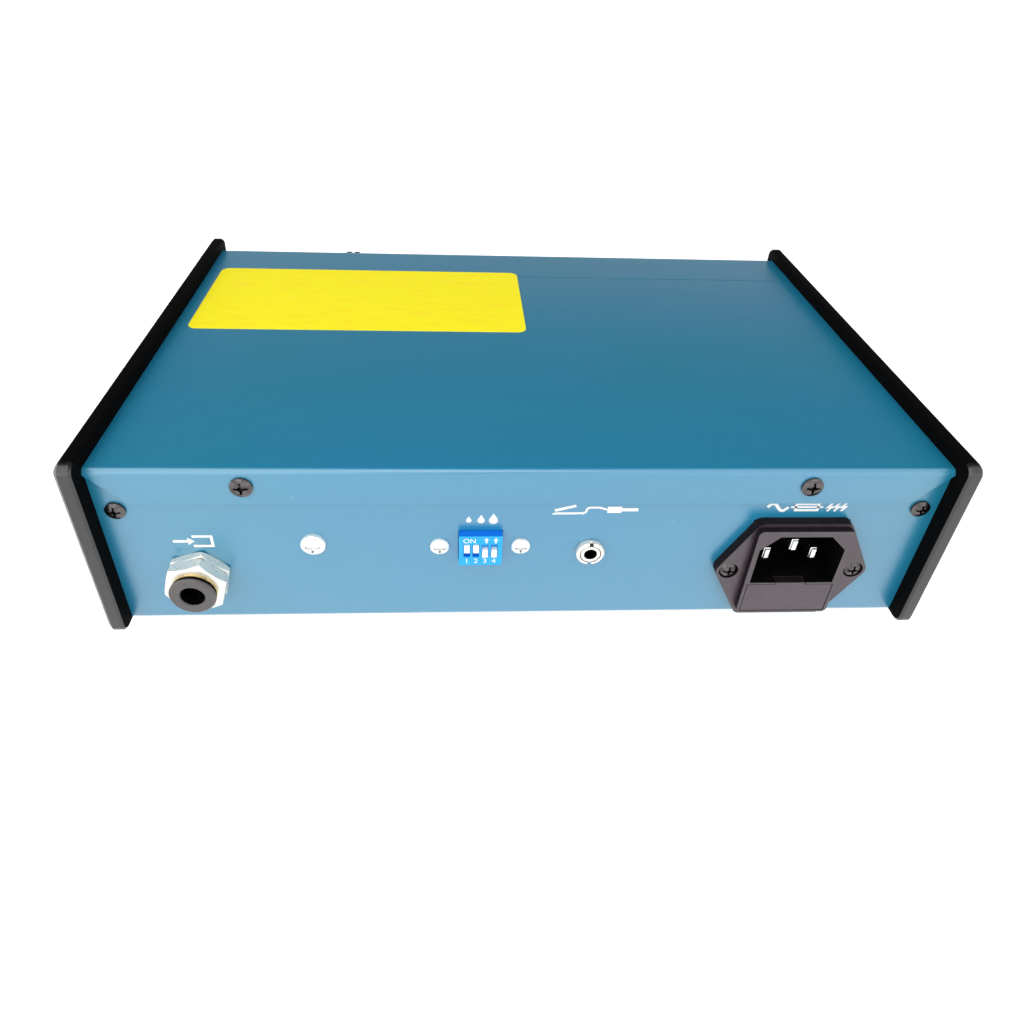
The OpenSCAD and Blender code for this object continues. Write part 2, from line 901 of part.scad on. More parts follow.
// Point of the flange's outline where the tangent from ear to corner leaves a circle
function tangent_turn(run, rise, r_from, r_to) =
    atan2(rise, run) - acos((r_from - r_to) / sqrt(run * run + rise * rise));

module inlet_outline() {
    mid_x = inlet_mid_w / 2 - corner_r;
    mid_y = inlet_flange_h / 2 - corner_r;
    turn = tangent_turn(mid_x - inlet_pitch, mid_y, inlet_ear_r, corner_r);
    ear = [inlet_pitch + inlet_ear_r * cos(turn), inlet_ear_r * sin(turn)];
    corner = [mid_x + corner_r * cos(turn), mid_y + corner_r * sin(turn)];
    polygon([[ear[0], ear[1]], [corner[0], corner[1]], [-corner[0], corner[1]], [-ear[0], ear[1]],
        [-ear[0], -ear[1]], [-corner[0], -corner[1]], [corner[0], -corner[1]], [ear[0], -ear[1]]]);
    rounded_rect(inlet_mid_w, inlet_flange_h, corner_r);
    for (side = [-1, 1])
        translate([side * inlet_pitch, 0])
            circle(inlet_ear_r);
}

module cavity_outline() {
    x = cavity_w / 2;
    high = cavity_low + cavity_h;
    polygon([[-x, cavity_low], [x, cavity_low], [x, high - cavity_cut], [x - cavity_cut, high],
        [cavity_cut - x, high], [-x, high - cavity_cut]]);
}

module blade_places() {
    for (i = [-1, 0, 1])
        translate([i * blade_pitch / 2, cavity_mid - blade_drop + (i == 0 ? 2 : -2),
                i == 0 ? blade_ahead : 0])
            children();
}

module inlet_housing() {
    color([0.16, 0.14, 0.14])
        on_rear(inlet_x, inlet_z)
            difference() {
                union() {
                    linear_extrude(inlet_flange_t)
                        inlet_outline();
                    translate([0, inlet_body_up, 0]) {
                        rounded_bar(inlet_body_w, inlet_body_h, 1.5, inlet_flange_t - 0.5, inlet_face);
                        bar(inlet_body_w, inlet_body_h, -inlet_deep, 0.5);
                    }
                }
                translate([0, 0, cavity_floor])
                    linear_extrude(cavity_deep + over)
                        cavity_outline();
                translate([0, drawer_y, 0])
                    bar(drawer_w + 2 * drawer_gap, drawer_h + 2 * drawer_gap, drawer_back - 0.3,
                        inlet_face + over);
                translate([0, drawer_top + drawer_wall / 2, 0])
                    bar(tab_w + 2 * drawer_gap, drawer_wall + 2 * over, inlet_face - tab_t - drawer_gap,
                        inlet_face + over);
                blade_places()
                    bar(blade_w + 2 * held_gap, blade_h + 2 * held_gap, -inlet_deep - 2 * over, 0);
                for (side = [-1, 1])
                    translate([side * inlet_pitch, 0, 0]) {
                        rod(m3_r + held_gap, -over, inlet_flange_t + over);
                        rod(m3_head_r + 0.2, inlet_flange_t - screw_sink, inlet_flange_t + over);
                    }
            }
}

module inlet_blades() {
    tip = inlet_face - blade_below;
    color([0.80, 0.80, 0.78])
        on_rear(inlet_x, inlet_z)
            blade_places() {
                bar(blade_w, blade_h, -inlet_deep - tag_l, tip - blade_point);
                bar(blade_w - blade_point, blade_h - blade_point, tip - blade_point, tip);
            }
}

module inlet_screws() {
    color([0.30, 0.27, 0.25])
        on_rear(inlet_x, inlet_z)
            for (side = [-1, 1])
                translate([side * inlet_pitch, 0, 0]) {
                    translate([0, 0, inlet_flange_t - screw_sink])
                        pan_screw(m3_r, m3_head_r, m3_head_h, inlet_flange_t + 4);
                    hex_nut(m3_nut_af, m3_r + held_gap, -sheet_t - 2.4, -sheet_t);
                }
}

// Fuse drawer: two open troughs across it, and a finger tab up into the plug cavity's edge
trough_from_back = 6;
trough_pitch = 9;

module trough_places() {
    for (i = [0, 1])
        translate([0, drawer_y - 0.4, drawer_back + trough_from_back + i * trough_pitch])
            children();
}

module fuse_drawer() {
    color([0.20, 0.18, 0.18])
        on_rear(inlet_x, inlet_z)
            difference() {
                union() {
                    translate([0, drawer_y, 0])
                        bar(drawer_w, drawer_h, drawer_back, inlet_face);
                    translate([0, drawer_top, 0])
                        bar(tab_w, 2 * drawer_wall, inlet_face - tab_t, inlet_face);
                }
                trough_places() {
                    rotate([0, 90, 0])
                        cylinder(r = fuse_r + run_gap, h = fuse_l + 0.4, center = true);
                    translate([0, drawer_h / 2, 0])
                        cube([fuse_l + 0.4, drawer_h, 2 * (fuse_r + run_gap)], center = true);
                }
            }
}

module fuses() {
    color([0.75, 0.75, 0.72])
        on_rear(inlet_x, inlet_z)
            trough_places()
                rotate([0, 90, 0])
                    cylinder(r = fuse_r, h = fuse_l, center = true);
}

// Foot switch jack
module jack_body() {
    color([0.12, 0.12, 0.12])
        on_rear(jack_x, jack_z)
            difference() {
                union() {
                    rod(jack_thread_r, -sheet_t - 0.5, jack_nut_h - 0.2);
                    bar(9, 8, -jack_deep, -sheet_t);
                }
                rod(jack_bore_r, 1 - jack_deep, jack_nut_h);
            }
}

module jack_nut() {
    rim = 0.4;
    color([0.72, 0.70, 0.66])
        on_rear(jack_x, jack_z)
            difference() {
                rotate_extrude()
                    polygon([[jack_thread_r + held_gap, 0], [jack_nut_r, 0], [jack_nut_r, jack_nut_h - rim],
                        [jack_nut_r - rim, jack_nut_h], [jack_thread_r + held_gap, jack_nut_h]]);
                bar(jack_slot, 2 * jack_nut_r + over, jack_nut_h - jack_slot, jack_nut_h + over);
            }
}

// Mode switch: four sliders in a block on its own board
slot_deep = 1.3;
spacer_r = 2.6;

module slot_places() {
    for (i = [0:3])
        translate([(i - 1.5) * dip_pitch, 0, 0])
            children();
}

module dip_body() {
    color([0.05, 0.42, 0.90])
        on_rear(dip_x, dip_z)
            difference() {
                bar(dip_w, dip_h, -dip_back, dip_out);
                slot_places()
                    bar(slider_w + 0.2, slider_travel + slider_h + 0.2, dip_out - slot_deep, dip_out + over);
            }
}

// Slider number i, counted from the left as seen from behind, up for 1 and down for -1
module dip_slider(i, up) {
    color([0.92, 0.92, 0.90])
        on_rear(dip_x, dip_z)
            translate([(i - 2.5) * dip_pitch, up * slider_travel / 2, 0])
                bar(slider_w, slider_h, dip_out - slot_deep + run_gap, dip_out + 0.3);
}

module dip_slider_1() {
    dip_slider(1, 1);
}

module dip_slider_2() {
    dip_slider(2, 1);
}

module dip_slider_3() {
    dip_slider(3, -1);
}

module dip_slider_4() {
    dip_slider(4, -1);
}

module dip_board() {
    color([0.10, 0.38, 0.20])
        on_rear(dip_x, dip_z) {
            difference() {
                bar(2 * dip_screw_x + 8, dip_h + 3, -dip_back - board_t, -dip_back);
                for (side = [-1, 1])
                    translate([side * dip_screw_x, 0, 0])
                        rod(m3_r + held_gap, -dip_back - board_t - over, 0);
            }
            for (side = [-1, 1])
                translate([side * dip_screw_x, 0, 0])
                    ring(spacer_r, m3_r + held_gap, -dip_back, -sheet_t);
        }
}

module dip_screws() {
    color([0.85, 0.85, 0.83])
        on_rear(dip_x, dip_z)
            for (side = [-1, 1])
                translate([side * dip_screw_x, 0, 0]) {
                    pan_screw(m3_r, m3_head_r, m3_head_h, dip_back + board_t + 3);
                    hex_nut(m3_nut_af, m3_r + held_gap, -dip_back - board_t - 2.4, -dip_back - board_t);
                }
}

module valve_screw() {
    color([0.85, 0.85, 0.83])
        on_rear(valve_x, valve_z)
            pan_screw(m4_r, m4_head_r, m4_head_h, 9);
}

// Display and keys on the control board
window_flange = 2;
window_t = 1.2;

module display_window() {
    color([0.10, 0.02, 0.02])
        on_front(display_x, display_z) {
            bar(window_w, window_h, -sheet_t, 0.3);
            bar(window_w + 2 * window_flange, window_h + 2 * window_flange, -sheet_t - window_t, -sheet_t);
        }
}

module display_module() {
    color([0.85, 0.85, 0.82])
        on_front(display_x, display_z)
            bar(window_w - 4, window_h - 2, -board_deep, -sheet_t - window_t - 0.2);
}

module key_places() {
    for (i = [1:4])
        on_front(display_x + (i - 2.5) * key_pitch, key_z)
            children();
}

module key(i) {
    dome = 0.5;
    color([0.88, 0.88, 0.86])
        on_front(display_x + (i - 2.5) * key_pitch, key_z) {
            rotate_extrude()
                polygon([[0, -sheet_t - 0.1], [key_r, -sheet_t - 0.1], [key_r, key_out - dome],
                    [key_r - dome, key_out], [0, key_out]]);
            rod(key_r + 1, -sheet_t - 1.4, -sheet_t - 0.05);
            rod(1.8, -board_deep + switch_h + key_travel + 0.1, -sheet_t - 1.2);
        }
}

module key_1() {
    key(1);
}

module key_2() {
    key(2);
}

module key_3() {
    key(3);
}

module key_4() {
    key(4);
}

module control_board() {
    board_low = key_z - 8;
    board_high = display_z + window_h / 2 + 5;
    mid = (board_low + board_high) / 2;
    span = board_high - board_low;
    color([0.10, 0.38, 0.20]) {
        on_front(display_x, mid) {
            bar(board_w, span, -board_deep - board_t, -board_deep);
            for (sx = [-1, 1], sy = [-1, 1])
                translate([sx * (board_w / 2 - 4), sy * (span / 2 - 4), 0])
                    rod(2.5, -board_deep, -sheet_t);
        }
        key_places()
            bar(6, 6, -board_deep, -board_deep + switch_h);
    }
}

// Pressure gauge
gauge_wall = 1.1;
dial_t = 0.8;
arbor_r = 0.8;
rim_up = 0.4;
lens_t = 1.9;
bezel_up = 3.6;

module gauge_case() {
    color([0.12, 0.12, 0.13])
        on_front(gauge_x, gauge_z)
            difference() {
                union() {
                    rod(gauge_r, -gauge_deep, rim_up);
                    rod(5, -gauge_end, -gauge_deep + over);
                }
                rod(gauge_r - gauge_wall, -dial_deep - dial_t, rim_up + over);
                rod(arbor_r + run_gap, -dial_deep - 12, 0);
                rod(tube_r + run_gap, -gauge_end - over, -gauge_end + port_deep);
            }
}

module gauge_bezel() {
    color([0.70, 0.70, 0.70])
        on_front(gauge_x, gauge_z)
            rotate_extrude()
                polygon([[gauge_r + 0.1, 0], [bezel_r, 0], [bezel_r, bezel_up - 1],
                    [bezel_r - 1, bezel_up], [gauge_r - 1.4, bezel_up], [gauge_r - 2.2, rim_up + lens_t],
                    [gauge_r + 0.1, rim_up + lens_t]]);
}

module gauge_lens() {
    color([0.85, 0.92, 0.95, 0.35])
        on_front(gauge_x, gauge_z)
            rod(gauge_r - 0.1, rim_up, rim_up + lens_t);
}

module gauge_dial() {
    color([0.96, 0.96, 0.94])
        on_front(gauge_x, gauge_z)
            ring(gauge_r - gauge_wall - 0.1, arbor_r + 0.4, -dial_deep - dial_t, -dial_deep);
}

module gauge_pointer() {
    low = -dial_deep + 0.6;
    long = gauge_r - gauge_wall - 4;
    color([0.70, 0.08, 0.06])
        on_front(gauge_x, gauge_z) {
            rod(arbor_r, -dial_deep - 8, low + 0.1);
            rod(2, low, low + 1.2);
            rotate([0, 0, 135])
                translate([0, 0, low + 0.2])
                    linear_extrude(0.6)
                        polygon([[-1.2, -6], [1.2, -6], [0.9, 0], [0.15, long], [-0.15, long], [-0.9, 0]]);
        }
}

// Pressure regulator: body and neck, stem that turns in it, knob that slides on the stem
neck_r = 9;
nut_up = 3;
neck_up = nut_up + knob_pull;
stem_r = 5;
spline_r = 4;
spline_up = knob_reach - 6;

module port_bore(depth) {
    rod(tube_r + run_gap, -depth, over);
}

module regulator_body() {
    port_low_x = min(reg_x - reg_r, valve_x - tube_r - port_wall);
    color([0.30, 0.31, 0.33])
        difference() {
            union() {
                on_front(reg_x, reg_z) {
                    rod(reg_r, -reg_l, -sheet_t);
                    rod(neck_r, -sheet_t - over, neck_up);
                }
                translate([port_low_x, front_y + reg_port_deep - port_box, foot_h + air_in_z - port_box / 2])
                    cube([reg_x + reg_r - port_low_x, reg_l - reg_port_deep + port_box,
                        reg_z - air_in_z + port_box / 2]);
                translate([reg_x - reg_boss, front_y + gauge_turn, foot_h + gauge_z])
                    rotate([0, 90, 0])
                        cylinder(r = 5, h = reg_boss);
            }
            on_front(reg_x, reg_z)
                rod(stem_r + run_gap, -12, neck_up + over);
            translate([reg_x + reg_r, front_y + reg_port_deep, foot_h + air_in_z])
                rotate([0, 90, 0])
                    port_bore(port_deep);
            translate([valve_x, front_y + reg_l, foot_h + air_in_z])
                rotate([-90, 0, 0])
                    port_bore(port_deep);
            translate([reg_x - reg_boss, front_y + gauge_turn, foot_h + gauge_z])
                rotate([0, -90, 0])
                    port_bore(port_deep);
        }
}

module panel_nuts() {
    color([0.72, 0.70, 0.66]) {
        on_front(reg_x, reg_z)
            difference() {
                ring(neck_r + 3, neck_r + held_gap, 0, nut_up);
                for (turn = [0:60:300])
                    rotate([0, 0, turn])
                        translate([neck_r + 3, 0, nut_up / 2])
                            cube([2, 2.4, nut_up + over], center = true);
            }
        on_front(vac_x, vac_z)
            hex_nut(2 * vac_neck_r + 4, vac_neck_r + held_gap, 0, vac_nut_up);
    }
}

module regulator_stem() {
    color([0.70, 0.70, 0.70])
        on_front(reg_x, reg_z) {
            rod(stem_r, -10, neck_up + 0.3);
            rod(spline_r, neck_up, spline_up);
        }
}

module regulator_knob() {
    low = nut_up + 1;
    shoulder = knob_reach - 3;
    color([0.10, 0.10, 0.11])
        on_front(reg_x, reg_z)
            difference() {
                union() {
                    translate([0, 0, low])
                        linear_extrude(shoulder - low)
                            difference() {
                                circle(knob_r);
                                for (i = [0:knob_ribs - 1])
                                    rotate(i * 360 / knob_ribs)
                                        translate([knob_r + 0.35, 0])
                                            circle(1, $fn = 16);
                            }
                    rotate_extrude()
                        polygon([[0, shoulder - 0.5], [knob_r - 1.2, shoulder - 0.5],
                            [knob_r - 1.2, shoulder + 1], [knob_r - 3, knob_reach], [0, knob_reach]]);
                }
                rod(neck_r + 1, low - over, neck_up + 1);
                rod(spline_r + run_gap, low, spline_up + 0.4);
            }
}

// Vacuum valve and its knob
vac_neck_r = 5;
vac_nut_up = 2;
vac_stem_r = 3;

module vacuum_valve() {
    color([0.72, 0.70, 0.66])
        on_front(vac_x, vac_z)
            difference() {
                union() {
                    rod(vac_body_r, -vac_deep, -sheet_t);
                    rod(vac_neck_r, -sheet_t - over, vac_nut_up + 0.6);
                }
                rod(vac_stem_r + run_gap, -8, vac_nut_up + 2);
                rod(tube_r + run_gap, -vac_deep - over, -vac_deep + port_deep);
            }
}

module vacuum_knob() {
    low = vac_nut_up + 1.2;
    flutes = 12;
    color([0.10, 0.10, 0.11])
        on_front(vac_x, vac_z) {
            rod(vac_stem_r, -6, low + 0.5);
            translate([0, 0, low])
                linear_extrude(vac_reach - 1 - low)
                    difference() {
                        circle(vac_knob_r);
                        for (i = [0:flutes - 1])
                            rotate(i * 360 / flutes)
                                translate([vac_knob_r + 0.6, 0])
                                    circle(1.3, $fn = 16);
                    }
            rotate_extrude()
                polygon([[0, vac_reach - 1.2], [vac_knob_r - 1, vac_reach - 1.2], [vac_knob_r - 2, vac_reach],
                    [0, vac_reach]]);
        }
}

// Power switch: a frame with a round socket, and a rocker that turns on its pin in it
rocker_body_w = rocker_frame_w - 2;
rocker_body_h = rocker_frame_h - 2;
rocker_gap = 0.25;
pivot_z = -1.5;
pivot_r = 1.5;
rocker_deep = 18;
rocker_base = 5;
frame_up = 1.8;

module on_pivot() {
    on_front(rocker_x, rocker_z)
        translate([0, 0, pivot_z])
            children();
}

module rocker_frame() {
    hole_w = rocker_w + 2 * rocker_gap;
    socket_r = rocker_r + rocker_gap;
    color([0.08, 0.08, 0.08])
        difference() {
            on_front(rocker_x, rocker_z) {
                rounded_bar(rocker_frame_w, rocker_frame_h, 1, 0, frame_up);
                bar(rocker_body_w, rocker_body_h, -rocker_deep, 0.5);
                for (y = [-6, 0, 6])
                    translate([0, y, 0])
                        bar(4.8, 0.8, -rocker_deep - 7, -rocker_deep + 0.5);
            }
            on_pivot() {
                rotate([0, 90, 0])
                    cylinder(r = socket_r, h = hole_w, center = true);
                bar(hole_w, 2 * socket_r, 0, 10);
                rotate([0, 90, 0])
                    cylinder(r = pivot_r + run_gap, h = rocker_body_w - 1, center = true);
            }
        }
}

module power_rocker() {
    rise = tan(rocker_tilt) * rocker_r;
    valley = 3;
    color([0.55, 0.05, 0.05])
        on_pivot()
            rotate([rocker_tilt, 0, 0]) {
                rotate([90, 0, 90])
                    translate([0, 0, -rocker_w / 2])
                        linear_extrude(rocker_w)
                            intersection() {
                                circle(rocker_r);
                                polygon([[-rocker_r, -rocker_base], [rocker_r, -rocker_base],
                                    [rocker_r, valley + rise], [0, valley], [-rocker_r, valley + rise]]);
                            }
                rotate([0, 90, 0])
                    cylinder(r = pivot_r, h = rocker_body_w - 1.4, center = true);
            }
}

// Power supply on four posts, with its row of capacitors and its transformer
supply_up = 8;
supply_in = 34;
supply_shift = 14;
supply_x = inlet_x + supply_shift;
supply_mid = rear_y - supply_in - supply_d / 2;
post_r = 3;
post_in = 5;
cap_r = 6;
cap_h = 20;
cap_in = 12;
cap_pitch = 18;
core_w = 34;
core_d = 30;
core_t = 6;
coil_w = 30;
coil_d = 18;
coil_h = 16;
coil_shift = 10;

module power_supply() {
    board_z = floor_z + supply_up;
    color([0.10, 0.38, 0.20])
        translate([supply_x, supply_mid, 0]) {
            bar(supply_w, supply_d, board_z, board_z + board_t);
            for (sx = [-1, 1], sy = [-1, 1])
                translate([sx * (supply_w / 2 - post_in), sy * (supply_d / 2 - post_in), 0])
                    rod(post_r, floor_z, board_z);
            for (i = [-1, 0, 1])
                translate([supply_w / 2 - cap_in, i * cap_pitch, 0])
                    rod(cap_r, board_z + board_t, board_z + board_t + cap_h);
        }
}

module transformer() {
    low = floor_z + supply_up + board_t;
    color([0.75, 0.60, 0.20])
        translate([supply_x - coil_shift, supply_mid, 0]) {
            bar(core_w, core_d, low, low + core_t);
            bar(coil_w, coil_d, low + core_t, low + core_t + coil_h);
            bar(core_w, core_d, low + core_t + coil_h, low + 2 * core_t + coil_h);
        }
}

// Solenoid valve block with its coil, ports and silencer
module solenoid_valve() {
    coil_in = 5;
    coil_side = 1;
    color([0.62, 0.64, 0.66]) {
        difference() {
            translate([valve_x - valve_w / 2, in_rear - valve_l, foot_h + valve_bottom])
                cube([valve_w, valve_l, valve_top - valve_bottom]);
            on_rear(valve_x, valve_z)
                rod(m4_r + held_gap, -10, over);
            translate([valve_x, in_rear - valve_l, foot_h + air_in_z])
                rotate([90, 0, 0])
                    port_bore(port_deep);
            for (side = [-1, 1])
                translate([valve_x + side * valve_w / 2, rear_y - valve_out_deep, foot_h + air_out_z])
                    rotate([0, side * 90, 0])
                        port_bore(port_deep);
        }
        translate([valve_x - valve_w / 2 + coil_side, in_rear - valve_l + coil_in, foot_h + valve_top])
            cube([valve_w - 2 * coil_side, valve_l - 2 * coil_in, case_h - cover_room - valve_top]);
    }
}

module silencer() {
    cap_l = 10;
    cap_r1 = 4;
    color([0.70, 0.52, 0.28])
        translate([valve_x - valve_w / 2, rear_y - valve_out_deep, foot_h + air_out_z])
            rotate([0, -90, 0]) {
                rod(tube_r, -tube_in, 0.5);
                hex_prism(9, 0, 3, 0);
                rod(cap_r1, 2.5, cap_l);
                translate([0, 0, cap_l])
                    cylinder(r1 = cap_r1, r2 = 0.6 * cap_r1, h = 2);
            }
}

module vacuum_ejector() {
    face = side_screw_x - port_r;
    front_end = in_rear - ejector_in - ejector_l;
    color([0.62, 0.64, 0.66])
        difference() {
            translate([face - ejector_w, front_end, foot_h + vac_z - ejector_h / 2])
                cube([ejector_w, ejector_l, ejector_h]);
            translate([vac_x, front_end, foot_h + vac_z])
                rotate([90, 0, 0])
                    port_bore(port_deep);
        }
}

// Inner air tubes, each a run of straight lengths and quarter bends
module tube_run(length) {
    ring(tube_r, tube_r - tube_wall, 0, length);
}

module tube_quarter() {
    rotate_extrude(angle = 90)
        translate([tube_bend, 0])
            difference() {
                circle(tube_r);
                circle(tube_r - tube_wall);
            }
}

module air_tubes() {
    start_in = rear_y - fit_in + tube_in;
    reg_y = front_y + reg_port_deep;
    valve_y = rear_y - valve_out_deep;
    start_out = front_y + fit_in - tube_in;
    gauge_y = front_y + gauge_turn;
    color([0.20, 0.45, 0.85]) {
        translate([air_in_x, start_in, foot_h + air_in_z])
            rotate([90, 0, 0])
                tube_run(start_in - reg_y - tube_bend);
        translate([air_in_x - tube_bend, reg_y + tube_bend, foot_h + air_in_z])
            rotate([0, 0, -90])
                tube_quarter();
        translate([reg_x + reg_r - tube_in, reg_y, foot_h + air_in_z])
            rotate([0, 90, 0])
                tube_run(air_in_x - tube_bend - reg_x - reg_r + tube_in);
        translate([valve_x, front_y + reg_l - tube_in, foot_h + air_in_z])
            rotate([-90, 0, 0])
                tube_run(in_rear - valve_l - front_y - reg_l + 2 * tube_in);
        translate([air_out_x, start_out, foot_h + air_out_z])
            rotate([-90, 0, 0])
                tube_run(valve_y - tube_bend - start_out);
        translate([air_out_x - tube_bend, valve_y - tube_bend, foot_h + air_out_z])
            tube_quarter();
        translate([valve_x + valve_w / 2 - tube_in, valve_y, foot_h + air_out_z])
            rotate([0, 90, 0])
                tube_run(air_out_x - tube_bend - valve_x - valve_w / 2 + tube_in);
        translate([gauge_x, front_y + gauge_end - tube_in, foot_h + gauge_z])
            rotate([-90, 0, 0])
                tube_run(tube_in + 1);
        translate([gauge_x + tube_bend, gauge_y - tube_bend, foot_h + gauge_z])
            rotate([0, 0, 90])
                tube_quarter();
        translate([gauge_x + tube_bend, gauge_y, foot_h + gauge_z])
            rotate([0, 90, 0])
                tube_run(reg_x - reg_boss + tube_in - gauge_x - tube_bend);
        translate([vac_x, front_y + vac_deep - tube_in, foot_h + vac_z])
            rotate([-90, 0, 0])
                tube_run(in_rear - ejector_in - ejector_l - front_y - vac_deep + 2 * tube_in);
    }
}

bottom_plate();
rear_panel();
front_panel();
top_cover();
side_plate_left();
side_plate_right();
cover_screws();
side_screws();
base_screws();
feet();
foot_screws();
top_label();
fitting_nuts();
fitting_rings();
tube_seals();
air_in_body();
air_in_collet();
air_out_body();
air_out_collet();
inlet_housing();
inlet_blades();
inlet_screws();
fuse_drawer();
fuses();
jack_body();
jack_nut();
dip_body();
dip_slider_1();
dip_slider_2();
dip_slider_3();
dip_slider_4();
dip_board();
dip_screws();
valve_screw();
display_window();
display_module();
key_1();
key_2();
key_3();
key_4();
control_board();
gauge_case();
gauge_bezel();
gauge_lens();
gauge_dial();
gauge_pointer();
regulator_body();
panel_nuts();
regulator_stem();
regulator_knob();
vacuum_valve();
vacuum_knob();
rocker_frame();
power_rocker();
power_supply();
transformer();
solenoid_valve();
silencer();
vacuum_ejector();
air_tubes();
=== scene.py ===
"""Looks of a bench-top glue dispenser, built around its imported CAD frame.

Lengths are in metres. The rear panel faces +Y, the controls face -Y, and Z = 0 is under the feet.
"""
import json
import math

import bmesh
import bpy
from mathutils import Matrix, Vector
from mathutils.bvhtree import BVHTree


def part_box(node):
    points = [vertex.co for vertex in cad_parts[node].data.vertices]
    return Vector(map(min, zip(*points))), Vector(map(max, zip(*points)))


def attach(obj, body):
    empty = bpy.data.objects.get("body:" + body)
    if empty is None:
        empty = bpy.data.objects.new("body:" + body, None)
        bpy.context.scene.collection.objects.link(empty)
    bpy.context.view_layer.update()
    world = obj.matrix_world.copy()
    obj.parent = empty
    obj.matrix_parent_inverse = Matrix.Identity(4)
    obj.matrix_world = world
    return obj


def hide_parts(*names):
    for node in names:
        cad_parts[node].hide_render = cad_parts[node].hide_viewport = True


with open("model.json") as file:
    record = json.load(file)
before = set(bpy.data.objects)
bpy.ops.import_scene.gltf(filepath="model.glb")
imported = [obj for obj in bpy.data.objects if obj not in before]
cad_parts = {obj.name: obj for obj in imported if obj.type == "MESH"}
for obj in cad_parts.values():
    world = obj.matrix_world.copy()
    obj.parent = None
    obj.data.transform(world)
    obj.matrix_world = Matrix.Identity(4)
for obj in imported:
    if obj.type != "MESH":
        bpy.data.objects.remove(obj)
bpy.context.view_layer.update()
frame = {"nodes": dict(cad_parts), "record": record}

MM = 0.001

# The photograph's camera: its place, its turn about Z, its tilt below the horizon and its roll, its
# lens and sensor in millimetres, its shift in widths of the sensor, and how near it sees
CAMERA_PLACE = Vector((0.02217, 0.24091, 0.18328))
CAMERA_YAW = math.radians(-4.499)
CAMERA_PITCH = math.radians(35.298)
CAMERA_ROLL = math.radians(-2.776)
CAMERA_LENS = 26.956
CAMERA_SENSOR = 36
CAMERA_SHIFT = (0.01236, -0.0664)
CAMERA_NEAR = 0.01

# Floor: its half width, its height, its white, and two distances from the middle with its glow there
FLOOR_HALF = 6
FLOOR_Z = -0.1 * MM
FLOOR_WHITE = 0.75
FLOOR_FADE = (0.2, 0.6)
FLOOR_GLOW = (0.7, 1.0)
# Sky: two heights of a direction, and its level there, from white at the horizon to a dark ceiling
SKY_FADE = (0.12, 0.42)
SKY_LEVEL = (1.0, 0.02)
# Lamps: place, target, size, watts, and whether they show in gloss
LAMPS = {
    "key_left": ((0.36, 0.43, 0.48), (0, 0.03, 0.04), (0.95, 0.95), 6.1, True),
    "key_right": ((-0.36, 0.43, 0.48), (0, 0.03, 0.04), (0.95, 0.95), 3.9, True),
    "fill": ((0.2, -0.75, 0.25), (0, 0, 0.03), (1.0, 1.0), 3.2, False),
}

# Printed marks, in millimetres: how far they stand out, their thickness, and how near points merge
INK_PROUD = 0.03
INK_THICK = 0.06
INK_WELD = 0.001
# How far in front of a node the marks start before they are laid on its surface
SETTLE_FROM = 5 * MM
# Heights of the rear pictograms, where the photograph has its legends
AIR_MARK_Z = 36.6 * MM
MODE_MARK_Z = 44.3 * MM
PEDAL_MARK_Z = 47.5 * MM
MAINS_MARK_Z = 48.3 * MM
# The gauge's scale: its numbered steps, their fine steps, and its zero and its sweep in degrees
DIAL_STEPS = 10
DIAL_FINE = 5
DIAL_START = 225
DIAL_SWEEP = 270
# The vacuum knob's scale: its ticks, the first one's angle, their step, and the radii of their ends
VACUUM_TICKS = 6
VACUUM_START = 210
VACUUM_STEP = 48
VACUUM_RADII = (9, 10.4)
# The display's digits, in millimetres: their pitch, width and height, the width of their bars and the
# gap at each end of a bar, and the radius of their points and how far aside those are
DIGITS = 4
DIGIT_PITCH = 9.2
DIGIT_W = 4.6
DIGIT_H = 9.0
BAR_W = 1.1
BAR_GAP = 0.15
DIGIT_SLANT = 0.12
POINT_R = 0.7
POINT_ASIDE = 1.4

# Rounded edges: their segments, the angles up to which faces are one and from which an edge is sharp,
# and how near points merge before
SOFT_SEGMENTS = 2
FLAT_ANGLE = math.radians(0.5)
EDGE_ANGLE = math.radians(35)
WELD = 1e-7
# Parts of a face's normal that pick faces, most of them for painted shade: a side plate's faces have more
# along X, tops have more along Z, a plate's long edges have less along Y, and so do the inlet's sides and
# the walls of its cavity
PLATE_X = 0.9
TOP_Z = 0.3
EDGE_Y = 0.05
SIDE_Y = 0.6
WALL_Y = 0.5
# How far the plug cavity's walls lie outside its openings, how deep it is painted dark all over as shade,
# and its rim
CAVITY_MARGIN = 1.3 * MM
CAVITY_DEEP = 8 * MM
CAVITY_RIM = 0.2 * MM
# Radii within which the fittings and the jack are painted dark as shade, and how far from their ends that
# starts
TUBE_BORE = 3.6 * MM
JACK_BORE = 2 * MM
BORE_INSET = 0.3 * MM


